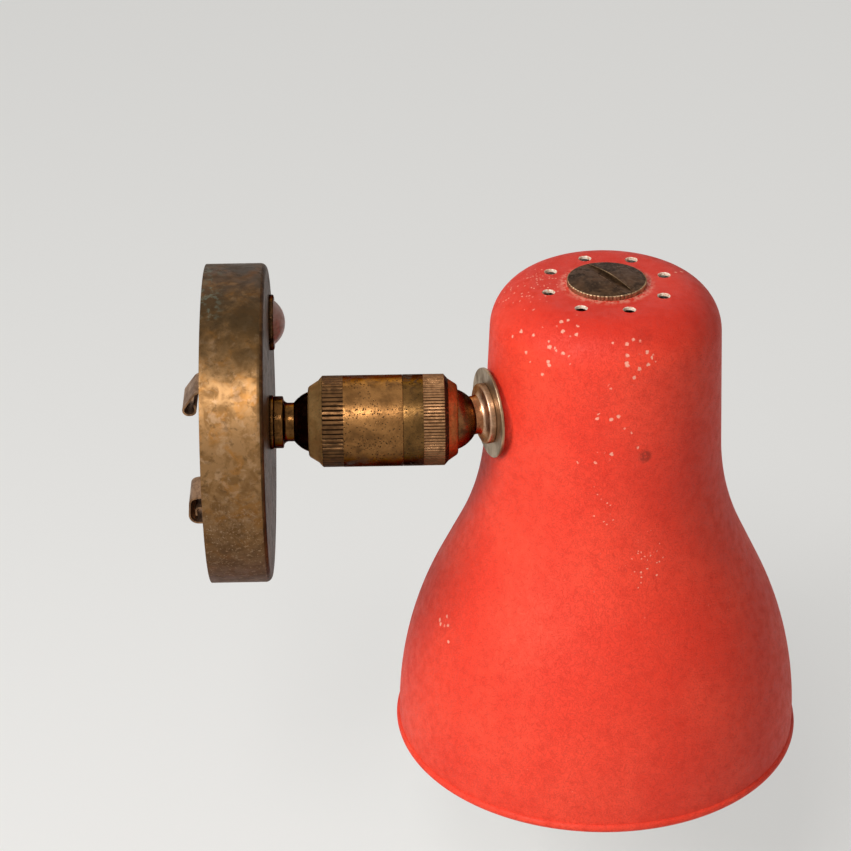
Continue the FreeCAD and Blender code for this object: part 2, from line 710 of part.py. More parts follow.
def shade_outline():
    """The shade's outside from the crown to the mouth, as (radius, z, bend)."""
    return [
        (0, CROWN_HEIGHT),
        (NECK_TOP_DIA / 2, CROWN_HEIGHT, SHOULDER_BEND),
        (NECK_LOW_DIA / 2, -NECK_LOW_DEPTH, COVE_BEND),
        (MOUTH_DIA / 2, -BELLY_DEPTH, BELLY_BEND),
        (MOUTH_DIA / 2, -MOUTH_DEPTH)]


def shade_shell():
    outside = shade_outline()
    inside = offset_path(outside, SHADE_WALL)
    inside[-1] = (inside[-1][0], -MOUTH_DEPTH - OVERCUT)
    solid = lathe_z(outside + [(0, -MOUTH_DEPTH)])
    pad_low = V(-NECK_TOP_DIA / 2 + SHOULDER_BEND, 0, 0)
    solid = solid.fuse(rod(SEAT_PAD_DIA / 2, pad_low, V(-SEAT_PLANE, 0, 0)))
    hollow = lathe_z(inside + [(0, -MOUTH_DEPTH - OVERCUT)])
    pad_hollow = rod(SEAT_PAD_DIA / 2 - SHADE_WALL, V(0, 0, 0), V(-SEAT_PLANE + SHADE_WALL, 0, 0))
    stem_hole = rod(SHANK_HOLE_R, V(0, 0, 0), V(-SEAT_PLANE - OVERCUT, 0, 0))
    cap_hole = rod(CAP_SHANK_DIA / 2 + THREAD_FIT, V(0, 0, 0), V(0, 0, CROWN_HEIGHT + OVERCUT))
    shell = solid.cut([hollow, pad_hollow, stem_hole, cap_hole])
    vents = []
    for i in range(VENT_COUNT):
        turn = 2 * math.pi * i / VENT_COUNT
        x = VENT_CIRCLE_DIA / 2 * math.cos(turn)
        y = VENT_CIRCLE_DIA / 2 * math.sin(turn)
        vents.append(rod(VENT_DIA / 2, V(x, y, 0), V(x, y, CROWN_HEIGHT + OVERCUT)))
    bead = Part.makeTorus(MOUTH_DIA / 2 - SHADE_WALL / 2, RIM_BEAD_DIA / 2, V(0, 0, -MOUTH_DEPTH))
    return place_shade(shell.cut(vents).fuse(bead).removeSplitter())


def shade_washer():
    low = -SEAT_PLANE - SHADE_WASHER_THICK
    washer = ring_x(SHADE_WASHER_DIA, SHANK_DIA + 2 * SHANK_FIT, low, -SEAT_PLANE)
    return place_shade(washer)


def shade_lock_washer():
    low = -SEAT_PLANE + SHADE_WALL
    washer = ring_x(LOCK_WASHER_DIA, SHANK_DIA + 2 * SHANK_FIT, low, low + LOCK_WASHER_THICK)
    return place_shade(washer)


def shade_lock_nut():
    return place_shade(hex_nut(-SEAT_PLANE + SHADE_WALL + LOCK_WASHER_THICK))


def top_cap_screw():
    """A domed, slotted head with a milled edge, on a shank that holds up the lamp holder."""
    r = CAP_DIA / 2
    rim_top = CROWN_HEIGHT + CAP_RIM
    rim = rod(r, V(0, 0, CROWN_HEIGHT), V(0, 0, rim_top))
    mill = milled_grooves(r, CAP_MILL_COUNT, CAP_MILL_DEPTH, CAP_MILL_GROOVE, CROWN_HEIGHT, rim_top)
    for groove in mill:
        groove.rotate(V(0, 0, 0), Y_AXIS, -90)
    dome = dome_cap(r - CAP_MILL_DEPTH, CAP_DOME)
    dome.translate(V(0, 0, rim_top))
    shank = rod(CAP_SHANK_DIA / 2, V(0, 0, CROWN_UNDERSIDE - CAP_SHANK_LENGTH), V(0, 0, CROWN_HEIGHT))
    slot_corner = V(-CAP_DIA, -CAP_SLOT_WIDTH / 2, rim_top + CAP_DOME - CAP_SLOT_DEPTH)
    slot = Part.makeBox(2 * CAP_DIA, CAP_SLOT_WIDTH, CAP_SLOT_DEPTH + OVERCUT, slot_corner)
    slot.rotate(V(0, 0, 0), Z_AXIS, CAP_SLOT_TURN_DEG - SHADE_SWING_DEG)
    head = rim.cut(mill).fuse([dome, shank])
    return place_shade(head.cut(slot))


def holder_cap():
    """The holder's moulded cap, hung under the crown by the cap screw, with a window for the leads."""
    spigot_r = HOLDER_R - HOLDER_WALL - HOLDER_FIT
    outer = lathe_z([
        (0, CROWN_UNDERSIDE),
        (HOLDER_TOP_DIA / 2, CROWN_UNDERSIDE, HOLDER_EDGE_ROUND),
        (HOLDER_R, CROWN_UNDERSIDE - HOLDER_CAP_ROUND, HOLDER_CAP_ROUND),
        (HOLDER_R, HOLDER_JOINT),
        (spigot_r, HOLDER_JOINT),
        (spigot_r, HOLDER_JOINT - HOLDER_SPIGOT),
        (0, HOLDER_JOINT - HOLDER_SPIGOT)])
    room_r = spigot_r - HOLDER_WALL
    boss_low = CROWN_UNDERSIDE - HOLDER_BOSS_HEIGHT
    room = lathe_z([
        (HOLDER_BOSS_DIA / 2, CROWN_UNDERSIDE - HOLDER_WALL),
        (HOLDER_TOP_DIA / 2 - HOLDER_WALL, CROWN_UNDERSIDE - HOLDER_WALL),
        (room_r, CROWN_UNDERSIDE - HOLDER_CAP_ROUND - HOLDER_WALL, HOLDER_CAP_ROUND / 2),
        (room_r, HOLDER_JOINT - HOLDER_SPIGOT - OVERCUT),
        (0, HOLDER_JOINT - HOLDER_SPIGOT - OVERCUT),
        (0, boss_low),
        (HOLDER_BOSS_DIA / 2, boss_low)])
    thread = rod(CAP_SHANK_DIA / 2 + THREAD_FIT, V(0, 0, 0), V(0, 0, CROWN_HEIGHT))
    window_z = CROWN_UNDERSIDE - LEAD_WINDOW_DROP
    window = rod(LEAD_WINDOW_DIA / 2, V(-HOLDER_DIA, 0, window_z), V(-HOLDER_BOSS_DIA / 2, 0, window_z))
    return place_shade(outer.cut([room, thread, window]))


def holder_insert():
    """The ceramic disc that carries the contacts, held between the cap's spigot and the skirt."""
    r = HOLDER_R - HOLDER_WALL - HOLDER_FIT
    disc = lathe_z([
        (0, INSERT_TOP),
        (r, INSERT_TOP, INSERT_EDGE_ROUND),
        (r, INSERT_LOW, INSERT_EDGE_ROUND),
        (0, INSERT_LOW)])
    cuts = [rod(CONTACT_WELL_DIA / 2, V(0, 0, INSERT_LOW - OVERCUT), V(0, 0, CONTACT_SEAT))]
    for side in (-1, 1):
        foot = V(0, side * POCKET_REACH, INSERT_TOP - INSERT_POCKET_DEPTH)
        cuts.append(rod(INSERT_POCKET_DIA / 2, foot, foot + V(0, 0, INSERT_POCKET_DEPTH + OVERCUT)))
    return place_shade(disc.cut(cuts))


def screw_shell():
    bore_r = SCREW_SHELL_BORE_DIA / 2
    shell = lathe_z([
        (bore_r, INSERT_LOW),
        (SHELL_FLANGE_DIA / 2, INSERT_LOW),
        (SHELL_FLANGE_DIA / 2, INSERT_LOW - SHELL_FLANGE_THICK),
        (bore_r + SCREW_SHELL_WALL, INSERT_LOW - SHELL_FLANGE_THICK),
        (bore_r + SCREW_SHELL_WALL, SHELL_LOW),
        (bore_r, SHELL_LOW)])
    return place_shade(shell)


def centre_contact():
    """The bent tongue in the insert's well that touches the lamp's tip."""
    path = [
        (CONTACT_LENGTH, CONTACT_SEAT),
        (-CONTACT_WIDTH, CONTACT_SEAT, CONTACT_THICK * 2),
        (CONTACT_WIDTH / 2, CONTACT_SEAT - CONTACT_SPRING)]
    strip = flat_face(path + list(reversed(offset_path(path, -CONTACT_THICK))))
    strip.rotate(V(0, 0, 0), X_AXIS, 90)
    strip.translate(V(0, CONTACT_WIDTH / 2, 0))
    return place_shade(strip.extrude(V(0, -CONTACT_WIDTH, 0)))


def holder_skirt():
    """The skirt that screws on the cap's spigot and holds the shell's flange up on its ledge."""
    ledge = INSERT_LOW - SHELL_FLANGE_THICK
    outer = lathe_z([
        (0, HOLDER_JOINT),
        (HOLDER_R, HOLDER_JOINT),
        (HOLDER_R, SKIRT_LOW, SKIRT_FOOT_ROUND),
        (0, SKIRT_LOW)])
    bore = rod(HOLDER_R - HOLDER_WALL, V(0, 0, ledge), V(0, 0, HOLDER_JOINT + OVERCUT))
    mouth = rod(SHELL_FLANGE_DIA / 2 - SKIRT_LEDGE, V(0, 0, SKIRT_LOW - OVERCUT), V(0, 0, HOLDER_JOINT))
    grips = []
    for i in range(HOLDER_GRIP_COUNT):
        turn = 2 * math.pi * i / HOLDER_GRIP_COUNT
        reach = HOLDER_R + HOLDER_GRIP_WIDTH / 2 - HOLDER_GRIP_DEPTH
        foot = V(reach * math.cos(turn), reach * math.sin(turn), SKIRT_LOW - OVERCUT)
        grips.append(rod(HOLDER_GRIP_WIDTH / 2, foot, foot + V(0, 0, SKIRT_GRIP_LENGTH + OVERCUT)))
    return place_shade(outer.cut([bore, mouth]).cut(grips))


def shade_leads():
    """Two leads from the stud's bore, up beside the holder, in at its window and down to the insert."""
    stud_end = -SHADE_AXIS_REACH + SHADE_SEAT + shade_stud_shank()
    rise_x = (stud_end - HOLDER_R) / 2
    window_z = CROWN_UNDERSIDE - LEAD_WINDOW_DROP
    leads = []
    for side in (-1, 1):
        y = side * LEAD_PITCH / 2
        pocket_y = side * POCKET_REACH
        leads.append(lead([
            V(-SEAT_PLANE, y, 0),
            V(rise_x, y, 0),
            V(rise_x, y, window_z),
            V(-HOLDER_BOSS_DIA / 2, side * LEAD_DIA, window_z),
            V(0, pocket_y, INSERT_TOP + LEAD_POCKET_RISE),
            V(0, pocket_y, INSERT_TOP - INSERT_POCKET_DEPTH)]))
    return place_shade(Part.Compound(leads))


def on_blade(side, face):
    """The middle of a switch terminal's upper (1) or under (-1) face."""
    middle = at_switch(SWITCH_BACK - TERMINAL_LENGTH / 2)
    return middle + V(0, side * TERMINAL_SPACING / 2, face * TERMINAL_THICK / 2)


def live_route():
    foot = on_blade(-1, -1)
    y = LEAD_PITCH / 2
    return [V(CANOPY_DEPTH, y, 0), V(LEAD_LEVEL, y, 0), V(foot.x, foot.y, LIVE_CORNER_RISE), foot]


def neutral_route():
    y = -LEAD_PITCH / 2
    bend = V(LEAD_LEVEL, -NEUTRAL_SIDE, NEUTRAL_RISE)
    end = from_edge(NEUTRAL_END_LEVEL, NEUTRAL_EDGE_ROOM, NEUTRAL_END_TURN_DEG)
    return [V(CANOPY_DEPTH, y, 0), V(LEAD_LEVEL, y, 0), bend, end]


def tail_route():
    foot = on_blade(1, 1)
    bend = from_edge(TAIL_BEND_LEVEL, TAIL_BEND_ROOM, TAIL_BEND_TURN_DEG)
    end = from_edge(TAIL_END_LEVEL, TAIL_END_ROOM, TAIL_END_TURN_DEG)
    return [foot, foot + V(0, 0, TAIL_RISE), bend, end]


def canopy_leads():
    """The live lead from stud to switch, the neutral tail, and the switch's own tail."""
    return Part.Compound([lead(live_route()), lead(neutral_route()), lead(tail_route())])


def lead_tips():
    """The tinned ends of the two tails, where the supply joins."""
    tips = []
    for route in (neutral_route(), tail_route()):
        heading = (route[-1] - route[-2]).normalize()
        tips.append(rod(LEAD_TIP_DIA / 2, route[-1], route[-1] + heading * LEAD_TIP_LENGTH))
    return Part.Compound(tips)


PIECES = {
    "canopy": canopy,
    "hanging_strap": hanging_strap,
    "spring_clip_upper": spring_clip_upper,
    "spring_clip_lower": spring_clip_lower,
    "clip_rivets": clip_rivets,
    "switch_body": switch_body,
    "switch_terminals": switch_terminals,
    "switch_bezel_nut": switch_bezel_nut,
    "push_button": push_button,
    "canopy_leads": canopy_leads,
    "lead_tips": lead_tips,
    "wall_seat_ring": wall_seat_ring,
    "wall_lock_washer": wall_lock_washer,
    "wall_lock_nut": wall_lock_nut,
    "wall_ball_stud": wall_ball_stud,
    "wall_friction_cup": wall_friction_cup,
    "swivel_sleeve": swivel_sleeve,
    "swivel_spring": swivel_spring,
    "clamp_sleeve": clamp_sleeve,
    "shade_friction_cup": shade_friction_cup,
    "shade_ball_stud": shade_ball_stud,
    "shade_washer": shade_washer,
    "shade_shell": shade_shell,
    "shade_lock_washer": shade_lock_washer,
    "shade_lock_nut": shade_lock_nut,
    "top_cap_screw": top_cap_screw,
    "holder_cap": holder_cap,
    "holder_insert": holder_insert,
    "screw_shell": screw_shell,
    "centre_contact": centre_contact,
    "holder_skirt": holder_skirt,
    "shade_leads": shade_leads,
}

os.makedirs("parts", exist_ok=True)
for name, make in PIECES.items():
    shape = make()
    shape.exportStep("parts/%s.step" % name)
    print("%-20s %2d solids %10.1f mm3 valid %s" % (name, len(shape.Solids), shape.Volume, shape.isValid()))
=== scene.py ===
import json
import random
from math import acos, ceil, cos, degrees, hypot, pi, radians, sin, sqrt, tan, tau

import bmesh
import bpy
from mathutils import Matrix, Vector

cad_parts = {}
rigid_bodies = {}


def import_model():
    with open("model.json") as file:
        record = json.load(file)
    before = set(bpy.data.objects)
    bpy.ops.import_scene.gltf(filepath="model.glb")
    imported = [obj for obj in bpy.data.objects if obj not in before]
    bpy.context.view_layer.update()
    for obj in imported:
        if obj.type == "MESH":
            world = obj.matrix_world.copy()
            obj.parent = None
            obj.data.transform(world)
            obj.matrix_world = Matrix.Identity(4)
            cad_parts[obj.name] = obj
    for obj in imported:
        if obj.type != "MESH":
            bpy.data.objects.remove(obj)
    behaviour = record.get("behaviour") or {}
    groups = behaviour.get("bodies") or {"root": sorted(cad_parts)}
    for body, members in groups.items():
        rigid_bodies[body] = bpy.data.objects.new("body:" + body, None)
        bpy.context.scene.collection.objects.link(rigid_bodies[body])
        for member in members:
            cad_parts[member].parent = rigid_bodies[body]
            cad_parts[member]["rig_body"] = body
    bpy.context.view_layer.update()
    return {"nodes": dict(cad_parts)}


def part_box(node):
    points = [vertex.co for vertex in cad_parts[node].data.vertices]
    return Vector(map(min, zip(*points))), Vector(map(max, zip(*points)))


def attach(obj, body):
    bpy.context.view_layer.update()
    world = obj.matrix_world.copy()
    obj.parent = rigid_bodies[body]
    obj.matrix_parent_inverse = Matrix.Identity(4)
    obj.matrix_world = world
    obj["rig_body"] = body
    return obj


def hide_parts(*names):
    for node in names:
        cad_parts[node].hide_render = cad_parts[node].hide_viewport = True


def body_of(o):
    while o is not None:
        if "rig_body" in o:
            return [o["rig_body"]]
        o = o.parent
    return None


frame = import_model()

# An adjustable wall lamp. Pieces are drawn in millimetres and set in the frame in metres.
MM = 0.001
SEED = 17
MERGE = 1e-4


def box_mm(node):
    low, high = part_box(node)
    return low / MM, high / MM


# Sizes and places that are read from the CAD boxes
CANOPY_HIGH = box_mm("canopy")[1]
CANOPY_R = CANOPY_HIGH.z
CANOPY_FRONT = CANOPY_HIGH.x
BUTTON_LOW, BUTTON_HIGH = box_mm("push_button")
SHADE_LOW, SHADE_HIGH = box_mm("shade_shell")
SHADE_MIDDLE = (*(SHADE_LOW + SHADE_HIGH).xy / 2, 0)
CAP_FOOT = box_mm("top_cap_screw")[0].z

# Canopy and switch
CANOPY_WALL = 1.5
CANOPY_EDGE = 2.0
CANOPY_RIM_ROUND = 0.25
CANOPY_INNER_ROUND = 0.5
PLATE_R = 46.0
SHANK_HOLE_R = 5.06
SWITCH_HOLE_R = 8.1
SWITCH_Y = (BUTTON_LOW.y + BUTTON_HIGH.y) / 2
SWITCH_Z = (BUTTON_LOW.z + BUTTON_HIGH.z) / 2
BEZEL_R = 8.9
BEZEL_THICK = 1.4
BEZEL_ROUND = 0.6
BEZEL_BORE_ROUND = 0.2
RING_FOOT_ROUND = 0.15
BUTTON_R = 7.1
BUTTON_RIM = CANOPY_FRONT + 1.3
BUTTON_ROUND = 1.1

# Spring clips behind the canopy
STRAP_THICK = 1.6
CLIP_THICK = 0.6
CLIP_SIDE = -16.0
CLIP_HALF = 6.5

# Swivel
WALL_BALL_X = 34.5
SHADE_BALL_X = 74.5
BALL_R = 10.0
SEAT_R = BALL_R + 0.08
SEAT_STEP = 0.5
SEAT_STEPS = 12
LIP_REACH = 3.4
SLEEVE_R = 14.4
SLEEVE_BORE_R = 12.0
SLEEVE_SHOULDER = 4.5
CLAMP_SHOULDER = 4.3
SHOULDER_R = SLEEVE_R - 1.5
LIP_R = SLEEVE_R - 3.5
LIP_ROUND = 1.2
BAND_CHAMFER = 1.3
BAND_ROUND = 0.3
SEAM_X = 60.7
SEAM_GAP = 0.06
SEAM_ROUND = 0.12
SPIGOT_R = 13.1
SPIGOT_END = SEAM_X + 7.9
SOCKET_R = 13.16
SOCKET_END = SPIGOT_END + 0.4
SLEEVE_CHORD = 0.22
SLEEVE_RUN = 1.6
KNURL_WIDTH = 6.4
KNURL_STEP = 0.12
SLEEVE_TEETH = 60
SLEEVE_TOOTH = 0.45
CLAMP_TEETH = 88
CLAMP_TOOTH = 0.35

# Studs
NECK_R = 6.1
NECK_LENGTH = 11.2
NECK_COVE = 2.2
COLLAR_ROUND = 0.7
SEAT_ROUND = 0.3
SHANK_R = 5.0
TIP_ROUND = 0.6
LEAD_BORE_R = 3.5
FLARE_R = 6.2
FLARE_DEPTH = 6.0
THREAD_PITCH = 1.0
THREAD_DEPTH = 0.35
WALL_COLLAR = (8.2, 3.0, 9.3)
SHADE_COLLAR = (9.6, 2.2, 8.6)
SEAT_RING_R = 8.5
SEAT_RING_THICK = 1.3
SEAT_RING_ROUND = 0.45
WASHER_R = 14.4
WASHER_THICK = 1.1
WASHER_ROUND = 0.3
WASHER_ROOM = 0.02

# Shade, with its axis on Z and the stem coming in along -X
SHADE_SWING = radians(16.5)
SHADE_WALL = 1.0
CROWN = SHADE_HIGH.z
SHADE_OUTLINE = [
    (0.0, CROWN),
    (35.9, CROWN, 15.5),
    (38.9, -34.0, 91.0),
    (66.5, -91.0, 124.0),
    (66.5, -122.0)]
CROWN_FLAT_R = 20.4
CROWN_BEND = 15.5
CROWN_PLATE_R = 21.9
BEAD_R = 1.5
BEAD_GAP = 0.3
SEAT_PLANE = 38.257
SHADE_REACH = SEAT_PLANE + WASHER_THICK + NECK_LENGTH + SHADE_COLLAR[1]
BOSS_R = 11.0
BOSS_BLEND = 1.2
STEM_HOLE_R = 6.0
STEM_REACH = 20.0
SHADE_RUN = 2.2
SHADE_FINE_RUN = 0.8
VENT_COUNT = 8
VENT_R = 1.8
VENT_CIRCLE_R = 19.3
VENT_CHAMFER = 0.25
CAP_HOLE_R = 5.05

# Cap
CAP_R = 12.5
CAP_RIM = 1.6
CAP_DOME = 1.3
CAP_TEETH = 60
CAP_MILL_DEPTH = 0.35
CAP_SHANK_R = 5.0
CAP_SLOT_HALF = 1.5
CAP_SLOT_DEPTH = 1.3
CAP_SLOT_TURN = radians(-58.6)
CAP_SLOT_BEVEL = 0.22

# Screw shell of the lamp holder
SHELL_BORE_R = 13.3
SHELL_WALL = 0.5
SHELL_TOP = 3.2
SHELL_LOW = -21.8
SHELL_FLANGE_R = 16.5
SHELL_FLANGE_THICK = 1.0
SHELL_PITCH = 3.62
SHELL_THREAD = 0.95
SHELL_THREAD_TOP = SHELL_TOP - 1.5

# Leads, with their pair's half distance and the switch blades that two of them end on
LEAD_R = 0.9
LEAD_SIDE = 1.2
BLADE_X = 3.3
BLADE_SIDE = 5.0

# Columns of points round the turned pieces, and the angle that parts smooth faces on the shade
CANOPY_COLUMNS = 192
SHADE_COLUMNS = 320
RING_COLUMNS = 96
WASHER_COLUMNS = 128
SHELL_COLUMNS = 120
BUTTON_COLUMNS = 72
HOLE_COLUMNS = 48
SWITCH_HOLE_COLUMNS = 64
VENT_COLUMNS = 40
SHADE_SHARP = 40

# Places of the pieces. A turned piece is drawn round Z, and ALONG_X lays that axis on X.
ALONG_X = Matrix.Rotation(pi / 2, 4, "Y")
SHADE_PLACE = Matrix.Translation(SHADE_MIDDLE) @ Matrix.Rotation(SHADE_SWING, 4, "Z")


def rounded(corners, chord=0.3):
    """Points along a path of (u, v, rounding) corners. A rounding shrinks to the room beside it."""
    points = [Vector(c[:2]) for c in corners]
    last = len(points) - 1
    rooms = [(points[i + 1] - points[i]).length for i in range(last)]
    halves = [0.0] * (last + 1)
    setbacks = [0.0] * (last + 1)
    for i in range(1, last):
        halves[i] = (points[i - 1] - points[i]).angle(points[i + 1] - points[i]) / 2
        rounding = corners[i][2] if len(corners[i]) > 2 else 0.0
        setbacks[i] = rounding / tan(halves[i])
    fits = [min(1.0, rooms[i] / max(setbacks[i] + setbacks[i + 1], 1e-9)) for i in range(last)]
    path = [points[0]]
    for i in range(1, last):
        setback = setbacks[i] * min(fits[i - 1], fits[i])
        if setback < 1e-6:
            path.append(points[i])
            continue
        back = (points[i - 1] - points[i]).normalized()
        ahead = (points[i + 1] - points[i]).normalized()
        radius = setback * tan(halves[i])
        centre = points[i] + (back + ahead).normalized() * (radius / sin(halves[i]))
        start = points[i] + back * setback - centre
        end = points[i] + ahead * setback - centre
        sweep = pi - 2 * halves[i]
        side = 1 if start.x * end.y - start.y * end.x > 0 else -1
        steps = max(4, ceil(radius * sweep / max(chord, radius / 40)))
        for k in range(steps + 1):
            turn = side * sweep * k / steps
            path.append(centre + Matrix.Rotation(turn, 2) @ start)
    path.append(points[last])
    return path


def spread(path, longest):
    """The same path with its long runs divided."""
    out = [path[0]]
    for a, b in zip(path, path[1:]):
        steps = max(1, ceil((b - a).length / longest - 1e-6))
        out.extend(a.lerp(b, k / steps) for k in range(1, steps + 1))
    return out


def beside(path, distance):
    """The path moved sideways, to the right of its way for a positive distance."""
    moved = []
    for i, point in enumerate(path):
        ahead = (path[min(i + 1, len(path) - 1)] - path[max(i - 1, 0)]).normalized()
        moved.append(point + Vector((ahead.y, -ahead.x)) * distance)
    return moved


def arc(centre, radius, start, end, steps):
    """Points on an arc of a circle in the path's plane, by angles in degrees."""
    turns = [radians(start + (end - start) * k / steps) for k in range(steps + 1)]
    return [Vector((centre[0] + radius * cos(t), centre[1] + radius * sin(t))) for t in turns]


def sphere_run(z_start, z_end, radius, centre_z, steps):
    """(radius, z) points along a sphere that is centred on the axis."""
    heights = [z_start + (z_end - z_start) * k / steps for k in range(steps + 1)]
    return [Vector((sqrt(max(radius ** 2 - (z - centre_z) ** 2, 0.0)), z)) for z in heights]


def ring_path(bore, r, low, high, low_round, high_round, bore_round=0.0, chord=0.1):
    """The section of a plain ring, from the middle of its bore and back to it."""
    middle = (bore, (low + high) / 2)
    return rounded([middle, (bore, low), (r, low, low_round), (r, high, high_round),
                    (bore, high, bore_round), middle], chord)


# One tooth's outline: share of its pitch, share of the groove's depth
TOOTH = [(0.0, 1.0), (0.17, 0.36), (0.26, 0.04), (0.5, 0.0), (0.74, 0.04), (0.83, 0.36)]


def toothed(count, seed):
    """Column angles and groove shares for a ring of teeth, each cut and worn a little differently."""
    draw = random.Random(seed)
    columns = []
    for i in range(count):
        depth = 0.78 + 0.22 * draw.random()
        shift = 0.05 * (draw.random() - 0.5)
        crown = 0.12 * draw.random()
        for share, groove in TOOTH:
            at = (i + share + shift) / count
            columns.append((tau * at, max(groove * depth, crown * (1 - groove))))
    return columns


def plain(count):
    """Column angles for a smooth ring."""
    return [(tau * i / count, 0.0) for i in range(count)]


def lathe(path, columns, closed=False, groove=None, thread=None):
    """A mesh of (radius, z) points turned round Z, and its rings. Groove and thread give depths, or 0."""
    bm = bmesh.new()
    rings = []
    for r, z in path:
        if r < 1e-6:
            rings.append([bm.verts.new((0, 0, z))])
            continue
        ring = []
        for turn, share in columns:
            reach = r
            if groove:
                reach -= groove(r, z) * share
            if thread:
                reach -= thread(r, z, turn)
            ring.append(bm.verts.new((reach * cos(turn), reach * sin(turn), z)))
        rings.append(ring)
    pairs = list(zip(rings, rings[1:]))
    if closed:
        pairs.append((rings[-1], rings[0]))
    for low, high in pairs:
        count = max(len(low), len(high))
        for i in range(count):
            j = (i + 1) % count
            if len(low) == 1:
                bm.faces.new((low[0], high[i], high[j]))
            elif len(high) == 1:
                bm.faces.new((low[i], low[j], high[0]))
            else:
                bm.faces.new((low[i], low[j], high[j], high[i]))
    return bm, rings


def ring_at(bm, x, y, z, radius, count):
    turns = [tau * i / count for i in range(count)]
    return [bm.verts.new((x + radius * cos(t), y + radius * sin(t), z)) for t in turns]


def skin(bm, low, high, material=0):
    """Faces between two rings of as many points."""
    count = len(low)
    for i in range(count):
        j = (i + 1) % count
        face = bm.faces.new((low[i], low[j], high[j], high[i]))
        face.material_index = material


def fill_plate(bm, loops, material=0):
    """A flat plate inside the first loop, with the others as its holes."""
    edges = []
    for loop in loops:
        for a, b in zip(loop, loop[1:] + loop[:1]):
            edges.append(bm.edges.get((a, b)) or bm.edges.new((a, b)))
    made = bmesh.ops.triangle_fill(bm, use_beauty=True, use_dissolve=False, edges=edges)
    for item in made["geom"]:
        if isinstance(item, bmesh.types.BMFace):
            item.material_index = material


def to_mesh(name, bm):
    mesh = bpy.data.meshes.new(name)
    bm.to_mesh(mesh)
    bm.free()
    return mesh


def new_object(name, data):
    obj = bpy.data.objects.new(name, data)
    bpy.context.collection.objects.link(obj)
    return obj


def hand_over(obj, node):
    """Put a drawn piece on the body that carries its CAD node, in that node's place."""
    body = body_of(frame["nodes"][node])[0]
    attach(obj, body)
    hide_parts(node)


def clean(bm):
    bmesh.ops.remove_doubles(bm, verts=bm.verts, dist=MERGE)
    bmesh.ops.recalc_face_normals(bm, faces=bm.faces)


def finish_piece(name, bm, place, node, looks, sharp=32):
    """Clean a drawn mesh, set it in the frame and hand it over."""
    clean(bm)
    bm.transform(Matrix.Scale(MM, 4) @ place)
    mesh = to_mesh(name, bm)
    mesh.shade_smooth()
    mesh.set_sharp_from_angle(angle=radians(sharp))
    for look in looks:
        mesh.materials.append(LOOK[look])
    obj = new_object(name, mesh)
    obj.modifiers.new("even_normals", "WEIGHTED_NORMAL").keep_sharp = True
    hand_over(obj, node)


def feed(tree, socket, value):
    """Link a socket to another one, or set its number, vector or colour."""
    if isinstance(value, bpy.types.NodeSocket):
        tree.links.new(value, socket)
    elif isinstance(value, tuple) and len(value) == 3 and len(socket.default_value) == 4:
        socket.default_value = (*value, 1.0)
    else:
        socket.default_value = value


def add_node(tree, kind, inputs, **settings):
    """A new node with its settings, and its inputs by name or number."""
    node = tree.nodes.new("ShaderNode" + kind)
    for key, value in settings.items():
        setattr(node, key, value)
    for key, value in inputs.items():
        feed(tree, node.inputs[key], value)
    return node


